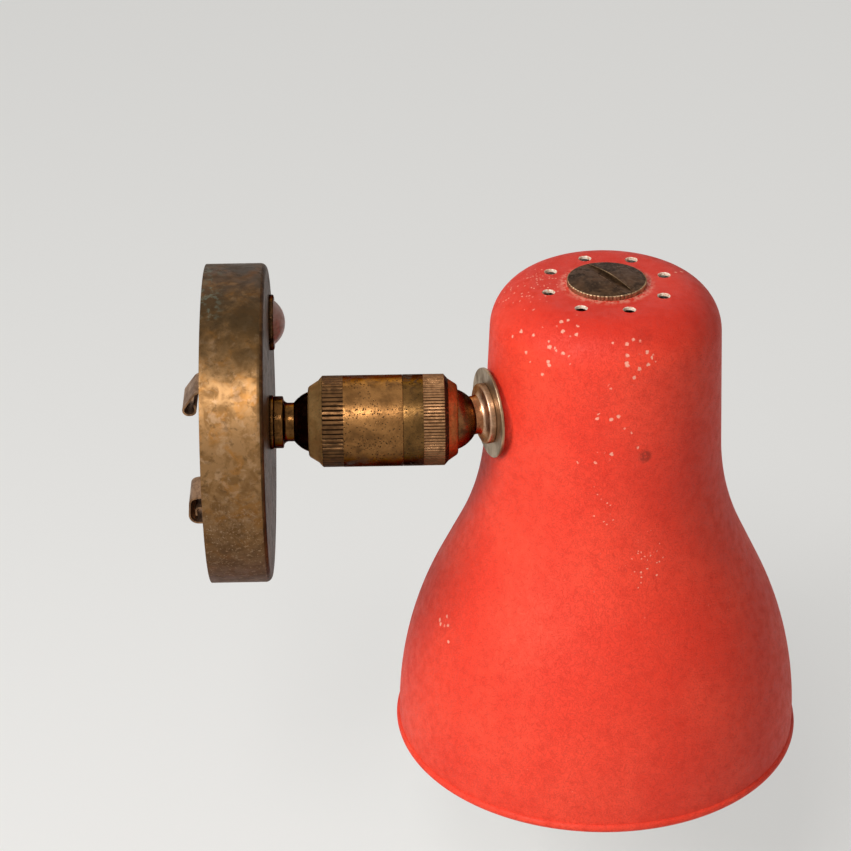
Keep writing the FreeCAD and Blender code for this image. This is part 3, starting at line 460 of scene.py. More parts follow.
class Shader:
    """A Principled material fed by patterns in object space, with their sizes in millimetres."""

    def __init__(self, name, origin=(0, 0, 0), **values):
        self.material = bpy.data.materials.new(name)
        self.material.use_nodes = True
        self.tree = self.material.node_tree
        self.surface = self.tree.nodes["Principled BSDF"]
        for key, value in values.items():
            self.give(key.replace("_", " "), value)
        self.where = self.at(origin)

    def give(self, socket, value):
        feed(self.tree, self.surface.inputs[socket], value)

    def node(self, kind, inputs, **settings):
        return add_node(self.tree, kind, inputs, **settings)

    def at(self, origin=(0, 0, 0), scale=(1, 1, 1), turn=(0, 0, 0)):
        """Object coordinates in millimetres from an origin, stretched along the axes."""
        place = self.node("TexCoord", {}).outputs["Object"]
        away = tuple(-o for o in origin)
        shift = self.node("Mapping", {"Vector": place, "Location": away, "Scale": (1 / MM,) * 3})
        return self.node("Mapping", {"Vector": shift.outputs[0], "Rotation": turn, "Scale": scale}).outputs[0]

    def noise(self, size, detail=4.0, rough=0.55, distort=0.0, where=None):
        inputs = {"Vector": where or self.where, "Scale": 1 / size, "Detail": detail, "Roughness": rough}
        return self.node("TexNoise", {**inputs, "Distortion": distort}).outputs["Fac"]

    def cells(self, size, output="Distance", where=None):
        return self.node("TexVoronoi", {"Vector": where or self.where, "Scale": 1 / size}).outputs[output]

    def band(self, value, low, high, start=0.0, end=1.0):
        """Take a value from a range to another range, smoothly and within its ends."""
        inputs = {"Value": value, "From Min": low, "From Max": high, "To Min": start, "To Max": end}
        return self.node("MapRange", inputs, interpolation_type="SMOOTHSTEP").outputs["Result"]

    def sum(self, kind, a, b=0.0):
        return self.node("Math", {0: a, 1: b}, operation=kind).outputs[0]

    def plus(self, a, b):
        return self.sum("ADD", a, b)

    def less(self, a, b):
        return self.sum("SUBTRACT", a, b)

    def times(self, a, b):
        return self.sum("MULTIPLY", a, b)

    def most(self, a, b):
        return self.sum("MAXIMUM", a, b)

    def base(self, share, first, second):
        """Start the colour with a mix of two, as they show on a screen."""
        self.colour = rgb(*first)
        self.tint(share, *second)

    def tint(self, share, *colour):
        """Lay a colour over the colour so far."""
        inputs = {"Factor": share, 6: self.colour, 7: rgb(*colour)}
        self.colour = self.node("Mix", inputs, data_type="RGBA").outputs[2]
        self.give("Base Color", self.colour)

    def rough(self, value, start, end, low=0.3, high=0.7):
        self.give("Roughness", self.band(value, low, high, start, end))

    def part(self, vector, axis):
        return self.node("SeparateXYZ", {0: vector}).outputs[axis]

    def warped(self, amount, size):
        """Places pushed about by noise, so that cells get ragged outlines."""
        push = self.node("TexNoise", {"Vector": self.where, "Scale": 1 / size}).outputs["Color"]
        inputs = {0: push, 1: (2 * amount,) * 3, 2: self.where}
        return self.node("VectorMath", inputs, operation="MULTIPLY_ADD").outputs[0]

    def patches(self, spots):
        """The largest share among (place, reach, share) spots, each fading towards its reach."""
        total = 0.0
        for place, reach, share in spots:
            far = self.node("VectorMath", {0: self.where, 1: place}, operation="DISTANCE").outputs["Value"]
            total = self.most(self.band(far, reach, reach * 0.45, 0, share), total)
        return total

    def flakes(self, size, reach, density, where):
        """Scattered flakes, one to a cell, more of them where the density is higher."""
        near = self.band(self.cells(size, where=where), reach, reach * 0.55)
        pick = self.plus(self.part(self.cells(size, "Color", where), 0), density)
        return self.times(near, self.band(pick, 1.0, 1.02))

    def reach(self, a, b):
        """Distance from an axis, by the two other axes."""
        u = self.part(self.where, a)
        v = self.part(self.where, b)
        return self.sum("SQRT", self.plus(self.times(u, u), self.times(v, v)))

    def relief(self, height, strength, depth):
        """Bump from a height pattern, with its depth in millimetres, on top of any bump before it."""
        node = self.node("Bump", {"Strength": strength, "Distance": depth * MM, "Height": height})
        normal = self.surface.inputs["Normal"]
        if normal.is_linked:
            self.tree.links.new(normal.links[0].from_socket, node.inputs["Normal"])
        self.give("Normal", node.outputs["Normal"])


def rgb(red, green, blue):
    """A colour written as it shows on a screen, 0 to 255."""
    shares = [c / 255 for c in (red, green, blue)]
    return tuple(c / 12.92 if c <= 0.04 else ((c + 0.055) / 1.055) ** 2.4 for c in shares)


# Where the paint is chipped, flecked and smudged, with painted glints among the flecks on the crown's left:
# place from the shade's axis, reach in mm, share
CHIPPED = [
    ((-21, -26, 35), 15, 0.34),
    ((-15, -20, 41), 9, 0.22),
    ((6, -34.5, 30.5), 10, 0.34),
    ((0, -36, 21.6), 2.5, 1.0),
    ((-1, -37, 4.6), 12, 0.42),
    ((-5, -37, -1.4), 8, 0.40),
    ((-51, -25, -71.4), 9, 0.28),
    ((30, 12, 36), 13, 0.25),
    ((14, 46, -48), 15, 0.22)]
FLECKS_AND_GLINTS = [
    ((11, -41, -39.4), 12, 0.20),
    ((12, -39, -33.4), 9, 0.16),
    # The crown's left: flecks here are painted glints of the wrinkle finish.
    ((-24, 1, 42), 16, 0.34),
    ((-3, -38, -18.4), 9, 0.12),
    ((-20, 30, 10), 18, 0.15)]
SMUDGED = [
    ((9.9, -36, -2.5), 2.8, 0.55),
    ((8.5, -29, 35.4), 4.2, 0.26),
    ((38, 8, -20), 5.0, 0.3)]


def orange_paint():
    """Wrinkle paint: fine creases with painted shade in them, pale chips, flecks with painted glints on the
    crown, painted shade deepening the crown, a worn ring round the cap and smudges.
    """
    s = Shader("orange_wrinkle_paint", SHADE_MIDDLE, Specular_IOR_Level=0.3)
    close = s.noise(3.4, 4, 0.6)
    wrinkle = s.noise(1.25, 2, 0.5, 1.2)
    crease = s.band(s.sum("ABSOLUTE", s.less(wrinkle, 0.5)), 0.055, 0.0)
    grain = s.noise(0.4, 3, 0.6)
    s.base(s.band(s.noise(30, 3), 0.35, 0.65), (236, 60, 37), (245, 72, 47))
    s.tint(s.band(close, 0.42, 0.74, 0, 0.35), 214, 42, 24)
    # Painted shade: the creases of the wrinkle are darkened.
    s.tint(s.times(crease, 0.4), 188, 34, 18)
    s.tint(s.band(grain, 0.55, 0.75, 0, 0.35), 250, 104, 76)
    s.tint(s.times(s.patches(SMUDGED), s.band(s.noise(1.3, 4, 0.6), 0.30, 0.56)), 84, 36, 26)
    z = s.part(s.where, 2)
    # Painted shade: a deeper red towards the top of the crown.
    s.tint(s.band(z, CROWN - 12, CROWN - 1, 0, 0.55), 206, 38, 20)
    ragged = s.warped(0.45, 0.7)
    chip = s.flakes(2.1, 0.38, s.patches(CHIPPED), ragged)
    # Flecks, with painted glints among them on the crown's left.
    fleck_and_glint = s.flakes(1.0, 0.34, s.plus(s.patches(FLECKS_AND_GLINTS), 0.006), ragged)
    ring = s.times(s.band(s.reach(0, 1), 15.8, 13.2, 0, 0.7), s.band(z, CROWN - 1.5, CROWN - 0.3))
    ring = s.times(ring, s.band(s.noise(1.5, 5, 0.7), 0.42, 0.58))
    worn = s.most(s.most(chip, fleck_and_glint), ring)
    s.tint(s.times(worn, 0.8), 246, 180, 154)
    s.rough(close, 0.50, 0.64)
    s.relief(s.less(grain, s.times(crease, 0.6)), 0.7, 0.14)
    s.relief(s.less(1.0, worn), 0.5, 0.06)
    return s.material


def white_enamel():
    """Enamel inside the shade, a little yellowed and dusty."""
    s = Shader("white_inner_enamel", SHADE_MIDDLE)
    haze = s.noise(26, 4)
    s.base(s.band(haze, 0.35, 0.7), (238, 234, 224), (228, 222, 208))
    s.tint(s.band(s.noise(1.4, 4, 0.6), 0.68, 0.74), 186, 174, 154)
    s.rough(haze, 0.34, 0.48)
    s.relief(s.noise(0.9, 3), 0.2, 0.05)
    return s.material


def vent_edge():
    """Bare undercoat in the walls of the vents."""
    s = Shader("vent_undercoat")
    spots = s.noise(0.7, 4)
    s.base(s.band(spots, 0.4, 0.65), (238, 222, 202), (206, 150, 120))
    s.rough(spots, 0.5, 0.7)
    s.relief(spots, 0.3, 0.05)
    return s.material


# Tarnished brass mirrors little at a grazing angle
TARNISHED_EDGE = rgb(136, 98, 66)


def painted_shade_side(s, share):
    """Painted shade that thickens away from the lit side, which is in front and above."""
    y = s.times(s.part(s.where, 1), -0.67)
    z = s.times(s.part(s.where, 2), 0.74)
    ahead = s.plus(s.plus(y, z), s.times(s.less(s.noise(6, 3), 0.5), 8.0))
    return s.band(ahead, 13, 1, 0, share)


def brass(name, light, mid, dark, shine, blotch, tarnish, pits=0.0, away=0.0, metal=1.0, origin=(0, 0, 0),
          **values):
    """Old brass: mottled tarnish, fine lines from turning, pits, dulled patches and painted shade on the far
    side.
    """
    s = Shader(name, origin, **{"Specular_Tint": TARNISHED_EDGE, **values})
    fine = s.noise(blotch / 6, 5, 0.65, 0.3)
    stain = s.times(s.band(s.noise(blotch * 0.55, 5, 0.65, 0.8), 0.48, 0.66), tarnish)
    s.base(s.band(s.noise(blotch, 5, 0.6, 0.6), 0.36, 0.62), light, mid)
    s.tint(stain, *dark)
    s.tint(s.band(fine, 0.5, 0.75, 0, 0.45), *dark)
    # Painted shade: the dark colour is laid on the side away from the light.
    if away:
        s.tint(painted_shade_side(s, away), *dark)
    rough = s.plus(s.band(fine, 0.3, 0.75, *shine), s.times(stain, 0.22))
    s.relief(s.noise(0.22, 2, 0.5, 0, s.at(origin, (1.0, 0.02, 0.02))), 0.12, 0.02)
    s.relief(fine, 0.16, 0.03)
    if pits:
        near = s.band(s.cells(0.75), 0.36, 0.22)
        pick = s.band(s.part(s.cells(0.75, "Color"), 1), 1 - pits, 1 - pits + 0.03)
        pit = s.times(s.times(near, pick), s.band(s.noise(8.0, 3), 0.34, 0.5))
        s.tint(s.times(pit, 0.88), 44, 32, 22)
        rough = s.plus(rough, s.times(pit, 0.3))
        s.relief(s.less(1.0, pit), 0.5, 0.08)
    s.give("Metallic", s.less(metal, s.times(stain, 0.55 * metal)))
    s.give("Roughness", rough)
    return s.material


def knurl_brass(name, depth, ridge, worn, groove):
    """A knurled band: dusty ridges, darker deep in the grooves, and painted shade on the side away from the
    light.
    """
    s = Shader(name, Specular_Tint=TARNISHED_EDGE)
    mottle = s.noise(2.2, 5, 0.62)
    s.base(s.band(mottle, 0.38, 0.66), ridge, worn)
    # Painted shade: the groove colour laid on the side away from the light.
    s.tint(painted_shade_side(s, 0.6), *groove)
    deep = s.band(s.reach(1, 2), SLEEVE_R - 0.15 * depth, SLEEVE_R - 0.8 * depth)
    s.tint(s.times(deep, s.band(s.noise(1.1, 4), 0.25, 0.5, 0.6, 1.0)), *groove)
    s.give("Metallic", s.band(mottle, 0.35, 0.7, 0.9, 0.6))
    s.rough(mottle, 0.34, 0.52)
    s.relief(s.noise(0.4, 4, 0.6), 0.2, 0.05)
    return s.material


def canopy_brass():
    """The canopy's side: tan and gold patches, dark olive on top and brown lower down, each partly tarnish
    and partly painted shade, and pale specks lower down.
    """
    s = Shader("aged_brass", Specular_Tint=TARNISHED_EDGE)
    mid = s.noise(4.5, 5, 0.6, 0.5)
    z = s.plus(s.part(s.where, 2), s.times(s.less(s.noise(14, 4, 0.55, 0.5), 0.5), 22.0))
    s.base(s.band(mid, 0.40, 0.62), (146, 110, 72), (116, 84, 50))
    s.tint(s.band(s.noise(6, 4, 0.6, 0.7), 0.50, 0.66, 0, 0.6), 150, 100, 46)
    pale = s.band(s.noise(3.2, 5, 0.62, 0.4), 0.52, 0.66, 0, 0.5)
    s.tint(pale, 166, 134, 102)
    s.tint(s.band(s.noise(1.8, 4, 0.6, 0.3), 0.52, 0.70, 0, 0.55), 78, 56, 34)
    # Darker olive towards the top: partly patina, partly painted shade.
    olive_tint_and_shade = s.times(s.band(z, 26, 46, 0, 0.9), s.band(s.noise(7, 4, 0.6, 0.5), 0.3, 0.58, 0.6, 1.0))
    s.tint(olive_tint_and_shade, 50, 38, 22)
    teal = s.times(s.band(z, 44, 51), s.band(s.part(s.where, 0), 9, 1))
    s.tint(s.times(teal, s.band(s.noise(2.2, 4, 0.6), 0.50, 0.64, 0, 0.5)), 110, 122, 108)
    # Darker brown towards the bottom: partly tarnish, partly painted shade.
    low = s.band(z, 16, -22, 0, 0.66)
    s.tint(low, 72, 50, 31)
    speck = s.times(s.band(s.noise(0.9, 4, 0.66), 0.54, 0.66), s.band(z, 14, -18, 0, 0.6))
    s.tint(speck, 166, 136, 106)
    dull = s.most(s.most(olive_tint_and_shade, low), s.most(pale, speck))
    s.give("Metallic", s.less(0.9, s.times(dull, 0.5)))
    s.rough(mid, 0.36, 0.54, 0.3, 0.72)
    s.relief(s.noise(0.25, 2, 0.5, 0, s.at(scale=(1.0, 0.03, 0.03))), 0.10, 0.02)
    s.relief(mid, 0.14, 0.05)
    return s.material


def steel(name, light, dark, shine, rust):
    """Plated steel with streaks and small brown spots."""
    s = Shader(name)
    streaks = s.noise(2.2, 5, 0.6, 0.4, s.at(scale=(1.0, 0.45, 0.3)))
    spot = s.band(s.noise(1.3, 5, 0.65), 0.62, 0.72, 0, rust)
    s.base(s.band(streaks, 0.36, 0.66), light, dark)
    s.tint(spot, 104, 74, 48)
    s.give("Metallic", s.less(1.0, s.times(spot, 0.7)))
    s.rough(streaks, *shine)
    s.relief(s.noise(0.5, 4), 0.15, 0.03)
    return s.material


def cap_bronze():
    """The cap's dark mottled top."""
    s = Shader("dark_bronze", SHADE_MIDDLE, Specular_Tint=TARNISHED_EDGE)
    wide = s.noise(4.5, 5, 0.6, 0.6)
    fine = s.noise(0.9, 5, 0.62)
    s.base(s.band(wide, 0.38, 0.64), (80, 58, 38), (52, 38, 26))
    s.tint(s.band(fine, 0.52, 0.70, 0, 0.5), 98, 74, 51)
    s.tint(s.band(s.noise(2.0, 5, 0.65), 0.62, 0.74, 0, 0.4), 122, 96, 71)
    s.give("Metallic", s.band(fine, 0.3, 0.7, 0.75, 0.35))
    s.rough(wide, 0.40, 0.58)
    s.relief(fine, 0.3, 0.05)
    return s.material


def moulding(name, ground, vein, shine):
    """Moulded plastic with a faint mottle and fine scratches."""
    s = Shader(name)
    s.base(s.band(s.noise(5.0, 4, 0.6, 1.2), 0.42, 0.68), ground, vein)
    scratch = s.noise(0.4, 3, 0.6, 0, s.at(scale=(0.2, 1.0, 1.0)))
    s.rough(scratch, *shine)
    s.relief(scratch, 0.08, 0.03)
    return s.material


def ivory():
    """The button: yellowed ivory plastic with grime in its scratches; its pink cast is painted light
    reflected from the red shade, and its dull tone is painted shade.
    """
    s = Shader("ivory_button", Subsurface_Weight=0.12, Subsurface_Radius=(0.004, 0.002, 0.001))
    swirl = s.noise(3.5, 4, 0.6, 0.8)
    # Pink and dull base colours: painted reflected light from the red shade and painted shade.
    s.base(s.band(swirl, 0.38, 0.66), (186, 142, 126), (162, 114, 98))
    s.tint(s.band(s.noise(1.1, 5, 0.7), 0.62, 0.72, 0, 0.6), 116, 78, 64)
    s.rough(swirl, 0.28, 0.42)
    s.relief(s.noise(0.6, 4), 0.10, 0.03)
    return s.material


def ceramic():
    s = Shader("ceramic")
    haze = s.noise(4.0, 4)
    s.base(s.band(haze, 0.4, 0.66), (232, 228, 218), (208, 200, 184))
    s.rough(haze, 0.25, 0.4)
    s.relief(s.noise(0.8, 3), 0.12, 0.04)
    return s.material


def braid():
    """Woven covering of the leads, as fine slanting ribs."""
    s = Shader("lead_covering")
    weave = s.cells(0.42, where=s.at(turn=(0.5, 0.6, 0.4)))
    s.base(s.band(weave, 0.2, 0.5), (176, 142, 84), (96, 70, 38))
    s.tint(s.band(s.noise(5, 3), 0.5, 0.7, 0, 0.5), 70, 54, 36)
    s.rough(weave, 0.65, 0.85, 0.2, 0.5)
    s.relief(weave, 0.5, 0.12)
    return s.material


# Brass rows: name, three colours, shine, size of the blotches, tarnish; away is the share of painted shade on
# the far side
LOOK = {
    "paint": orange_paint(),
    "enamel": white_enamel(),
    "vent": vent_edge(),
    "canopy": canopy_brass(),
    # The canopy's front face: dark brass with little shine, partly tarnish and partly painted shade for the
    # dark reflections of its polished face.
    "canopy_face": brass("canopy_face_brass", (96, 68, 40), (72, 50, 30), (40, 29, 19), (0.3, 0.44), 8.0, 0.5,
                         metal=0.3, Specular_IOR_Level=0.03, Specular_Tint=rgb(110, 70, 44)),
    "sleeve": brass("turned_brass", (160, 113, 66), (126, 87, 49), (54, 38, 22), (0.22, 0.42), 9.0, 0.45,
                    pits=0.66, away=0.72),
    "sleeve_knurl": knurl_brass("sleeve_knurl_brass", SLEEVE_TOOTH, (118, 84, 53), (88, 61, 38),
                                (36, 25, 16)),
    "sleeve_shoulder": brass("polished_brass", (246, 198, 128), (222, 170, 104), (140, 100, 58), (0.42, 0.54),
                             6.0, 0.25, away=0.3, metal=0.75),
    "clamp": brass("clamp_brass", (118, 84, 46), (94, 67, 36), (46, 34, 20), (0.22, 0.42), 5.0, 0.6,
                   pits=0.3, away=0.72),
    "clamp_knurl": knurl_brass("clamp_knurl_brass", CLAMP_TOOTH, (164, 121, 84), (126, 90, 59), (54, 37, 24)),
    # The clamp's shoulder is tinted copper, partly a painted reflection of the red shade beside it.
    "clamp_shoulder": brass("copper_and_reflection_brass", (190, 120, 70), (150, 90, 50), (84, 49, 29), (0.38, 0.52), 6.0,
                            0.4, away=0.4),
    "gold": brass("golden_brass", (116, 78, 40), (80, 53, 27), (40, 27, 15), (0.14, 0.28), 5.0, 0.45),
    # Dark brass for the wall stud's ball, darkened partly as painted shade for a polished ball that mirrors
    # dark surroundings.
    "dark": brass("dark_brass", (84, 54, 32), (54, 34, 20), (26, 18, 12), (0.14, 0.28), 5.0, 0.5),
    "stud_ball": brass("ball_brass", (122, 80, 50), (92, 58, 36), (50, 32, 20), (0.2, 0.34), 5.0, 0.5,
                       origin=SHADE_MIDDLE),
    "stud_neck": brass("stud_brass", (176, 116, 78), (138, 90, 60), (78, 50, 34), (0.2, 0.36), 5.0, 0.45,
                       origin=SHADE_MIDDLE),
    "stud_collar": brass("collar_brass", (206, 168, 138), (176, 136, 106), (112, 82, 62), (0.3, 0.46), 4.0,
                         0.45, origin=SHADE_MIDDLE),
    "bezel": brass("bezel_brass", (92, 64, 40), (64, 45, 28), (36, 26, 18), (0.22, 0.42), 3.5, 0.5),
    "contact": brass("contact_brass", (206, 162, 84), (176, 130, 62), (120, 84, 44), (0.2, 0.36), 6.0, 0.3),
    "edge": brass("worn_edge_brass", (186, 156, 122), (150, 120, 92), (92, 70, 52), (0.3, 0.5), 2.5, 0.4),
    "cap": cap_bronze(),
    "zinc": steel("zinc_steel", (178, 154, 124), (128, 106, 80), (0.32, 0.52), 0.4),
    "clip": steel("clip_steel", (164, 126, 94), (116, 86, 62), (0.34, 0.54), 0.5),
    "strap": steel("strap_steel", (150, 146, 136), (108, 102, 92), (0.35, 0.55), 0.4),
    "cup": steel("cup_steel", (160, 158, 152), (120, 118, 112), (0.25, 0.4), 0.2),
    "tin": steel("tinned_copper", (190, 186, 176), (160, 150, 134), (0.25, 0.4), 0.1),
    "bakelite": moulding("switch_moulding", (44, 30, 24), (66, 42, 30), (0.3, 0.42)),
    "holder": moulding("holder_moulding", (40, 28, 22), (60, 38, 26), (0.22, 0.36)),
    "ivory": ivory(),
    "ceramic": ceramic(),
    "braid": braid(),
}


def build_canopy():
    inner_r = CANOPY_R - CANOPY_WALL
    floor = CANOPY_FRONT - CANOPY_WALL
    path = rounded([
        (PLATE_R, floor),
        (inner_r, floor, CANOPY_INNER_ROUND),
        (inner_r, 0, CANOPY_RIM_ROUND),
        (CANOPY_R, 0, CANOPY_RIM_ROUND),
        (CANOPY_R, CANOPY_FRONT, CANOPY_EDGE),
        (PLATE_R, CANOPY_FRONT)], 0.25)
    bm, rings = lathe(spread(path, 2.5), plain(CANOPY_COLUMNS))
    holes = [(0.0, 0.0, SHANK_HOLE_R, HOLE_COLUMNS),
             (-SWITCH_Z, SWITCH_Y, SWITCH_HOLE_R, SWITCH_HOLE_COLUMNS)]
    backs = [ring_at(bm, x, y, floor, r, count) for x, y, r, count in holes]
    fronts = [ring_at(bm, x, y, CANOPY_FRONT, r, count) for x, y, r, count in holes]
    for back, front in zip(backs, fronts):
        skin(bm, back, front)
    fill_plate(bm, [rings[0]] + backs)
    fill_plate(bm, [rings[-1]] + fronts)
    paint_by_height(bm, CANOPY_FRONT - CANOPY_EDGE / 2, CANOPY_FRONT + 0.1, 1)
    finish_piece("canopy_cup", bm, ALONG_X, "canopy", ["canopy", "canopy_face"])


def curled_strip(name, node, thick, corners):
    """A strip bent along an (x, z) path, with its thickness on one side of the path."""
    path = rounded(corners, 0.2)
    outline = path + beside(path, thick)[::-1]
    bm = bmesh.new()
    sides = []
    for y in (CLIP_SIDE - CLIP_HALF, CLIP_SIDE + CLIP_HALF):
        sides.append([bm.verts.new((point.x, y, point.y)) for point in outline])
    skin(bm, *sides)
    count = len(outline)
    for side in sides:
        for i in range(len(path) - 1):
            bm.faces.new((side[i], side[i + 1], side[count - 2 - i], side[count - 1 - i]))
    finish_piece(name, bm, Matrix(), node, ["clip"])


def build_clips():
    curled_strip("upper_clip", "spring_clip_upper", CLIP_THICK, [
        (STRAP_THICK, 2.4), (STRAP_THICK, 23.0, 2.2), (-2.2, 22.4, 2.2), (-7.1, 15.6, 1.3),
        (-2.4, 15.6, 1.3), (-3.0, 18.6)])
    curled_strip("lower_clip", "spring_clip_lower", -CLIP_THICK, [
        (STRAP_THICK, -2.4), (STRAP_THICK, -12.8, 1.3), (-5.9, -14.2, 2.2), (-6.5, -23.1, 3.0),
        (1.8, -23.1, 3.0), (1.8, -17.2, 2.2), (-4.2, -17.2, 1.3), (-4.2, -20.2)])


def build_switch():
    at_switch = Matrix.Translation((0, SWITCH_Y, SWITCH_Z)) @ ALONG_X
    path = ring_path(SWITCH_HOLE_R, BEZEL_R, CANOPY_FRONT, CANOPY_FRONT + BEZEL_THICK, RING_FOOT_ROUND,
                     BEZEL_ROUND, BEZEL_BORE_ROUND, 0.12)
    bm, _ = lathe(path, plain(RING_COLUMNS), True)
    finish_piece("switch_bezel", bm, at_switch, "switch_bezel_nut", ["bezel"])

    top = BUTTON_HIGH.x
    height = top - BUTTON_RIM
    sphere_r = (BUTTON_R ** 2 + height ** 2) / (2 * height)
    dome = sphere_run(BUTTON_RIM + BUTTON_ROUND * 0.4, top, sphere_r, top - sphere_r, 18)
    dome[0] = Vector((BUTTON_R, BUTTON_RIM))
    foot = rounded([(0, BUTTON_LOW.x), (BUTTON_R, BUTTON_LOW.x, 0.4), (BUTTON_R, BUTTON_RIM - 0.05)], 0.12)
    bm, _ = lathe(spread(foot, 1.5) + dome, plain(BUTTON_COLUMNS))
    finish_piece("button", bm, at_switch, "push_button", ["ivory"])


def knurl_groove(low, high, depth):
    """Groove depth by height for a knurled band, running out on its chamfer."""
    def cut(r, z):
        if z < low - 0.01 or z > high + 0.01:
            return 0.0
        return max(0.0, depth - (SLEEVE_R - r))
    return cut


def paint_by_height(bm, low, high, material, least_r=0.0):
    """Give the outer faces between two heights another material."""
    for face in bm.faces:
        middle = face.calc_center_median()
        if low < middle.z < high and hypot(middle.x, middle.y) > least_r:
            face.material_index = material


def shoulder(lip, length, side):
    """Corners from a sleeve's lip over its cone, chamfer and knurl, and the heights that these end at."""
    band = lip + side * length
    cone_end = band - side * BAND_CHAMFER
    knurl_end = band + side * KNURL_WIDTH
    corners = [
        (sqrt(SEAT_R ** 2 - LIP_REACH ** 2), lip),
        (LIP_R, lip, LIP_ROUND),
        (SHOULDER_R, cone_end),
        (SLEEVE_R, band, BAND_ROUND),
        (SLEEVE_R, knurl_end),
        (SLEEVE_R, knurl_end + side * KNURL_STEP)]
    return corners, cone_end, band, knurl_end


def build_sleeves():
    lip = WALL_BALL_X - LIP_REACH
    seat_end = WALL_BALL_X + SEAT_STEP
    corners, cone_end, band, knurl_end = shoulder(lip, SLEEVE_SHOULDER, 1)
    outside = rounded(corners + [
        (SLEEVE_R, SEAM_X, SEAM_ROUND),
        (SPIGOT_R, SEAM_X),
        (SPIGOT_R, SPIGOT_END),
        (SLEEVE_BORE_R, SPIGOT_END),
        (SLEEVE_BORE_R, seat_end)], SLEEVE_CHORD)
    seat = sphere_run(seat_end, lip, SEAT_R, WALL_BALL_X, SEAT_STEPS)
    bm, _ = lathe(seat[:-1] + spread(outside, SLEEVE_RUN), toothed(SLEEVE_TEETH, SEED), True,
                  knurl_groove(cone_end, knurl_end, SLEEVE_TOOTH))
    paint_by_height(bm, band - 0.3, knurl_end + 0.1, 1, SLEEVE_BORE_R + 0.5)
    paint_by_height(bm, lip - 0.02, band - 0.3, 2)
    finish_piece("sleeve", bm, ALONG_X, "swivel_sleeve",
                 ["sleeve", "sleeve_knurl", "sleeve_shoulder"])

    start = SEAM_X + SEAM_GAP
    lip = SHADE_BALL_X + LIP_REACH
    seat_end = SHADE_BALL_X - SEAT_STEP
    corners, cone_end, band, knurl_end = shoulder(lip, CLAMP_SHOULDER, -1)
    socket = [(SOCKET_R, SOCKET_END), (SOCKET_R, start), (SLEEVE_R, start, SEAM_ROUND)]
    outside = rounded(socket + corners[::-1], SLEEVE_CHORD)
    seat = sphere_run(lip, seat_end, SEAT_R, SHADE_BALL_X, SEAT_STEPS)
    inside = [Vector((SLEEVE_BORE_R, seat_end)), Vector((SLEEVE_BORE_R, SOCKET_END))]
    bm, _ = lathe(spread(outside, SLEEVE_RUN) + seat[1:] + inside, toothed(CLAMP_TEETH, SEED + 1), True,
                  knurl_groove(knurl_end, cone_end, CLAMP_TOOTH))
    paint_by_height(bm, knurl_end - 0.1, cone_end, 1, SLEEVE_BORE_R + 0.5)
    paint_by_height(bm, cone_end, lip + 0.02, 2)
    finish_piece("clamp_ring_sleeve", bm, ALONG_X, "clamp_sleeve",
                 ["clamp", "clamp_knurl", "clamp_shoulder"])


def stud_path(collar_r, collar_thick, shank):
    """The outline of a hollow ball stud, from its flared bore over the ball to the shank's end."""
    seat = NECK_LENGTH + collar_thick
    end = seat + shank
    flare_z = -sqrt(BALL_R ** 2 - FLARE_R ** 2)
    neck_z = sqrt(BALL_R ** 2 - NECK_R ** 2)
    ball = sphere_run(flare_z, neck_z, BALL_R, 0, 40)
    stem = rounded([
        (NECK_R, neck_z),
        (NECK_R, NECK_LENGTH, NECK_COVE),
        (collar_r, NECK_LENGTH, COLLAR_ROUND),
        (collar_r, seat, SEAT_ROUND),
        (SHANK_R, seat),
        (SHANK_R, end, TIP_ROUND),
        (LEAD_BORE_R, end),
        (LEAD_BORE_R, flare_z + FLARE_DEPTH)], 0.2)
    return ball[:-1] + spread(stem, THREAD_PITCH / 6), seat, end


def helix(z, turn, pitch):
    """How far round its pitch a thread has come, from 0 to 1."""
    return (z / pitch - turn / tau) % 1.0


def screw_thread(low, high, crest_r):
    """A helical thread on the part of a bar between two heights."""
    def depth(r, z, turn):
        if r < crest_r - 0.05 or z < low or z > high or r > crest_r + 0.05:
            return 0.0
        slope = abs(2 * helix(z, turn, THREAD_PITCH) - 1)
        return THREAD_DEPTH * slope * min(1.0, (z - low), (high - z) * 2)
    return depth


def build_studs():
    ball_end = sqrt(BALL_R ** 2 - NECK_R ** 2)
    wall_side = Matrix.Translation((WALL_BALL_X, 0, 0)) @ Matrix.Rotation(pi, 4, "Z")
    shade_side = SHADE_PLACE @ Matrix.Translation((-SHADE_REACH, 0, 0))
    for name, collar, place, node, slot, looks in (
            ("wall_stud", WALL_COLLAR, wall_side, "wall_ball_stud", "dark_brass",
             ["gold", "dark", "gold"]),
            ("shade_stud", SHADE_COLLAR, shade_side, "shade_ball_stud", "turned_brass",
             ["stud_neck", "stud_ball", "stud_collar"])):
        path, seat, end = stud_path(*collar)
        bm, _ = lathe(path, plain(RING_COLUMNS), True, None, screw_thread(seat + 0.2, end - 0.3, SHANK_R))
        # The ball takes the second look; on the wall stud that darker brass is partly painted shade.
        paint_by_height(bm, -BALL_R, ball_end - 0.1, 1)
        paint_by_height(bm, NECK_LENGTH - NECK_COVE / 2, seat + 0.01, 2, NECK_R)
        finish_piece(name, bm, place @ ALONG_X, node, looks)


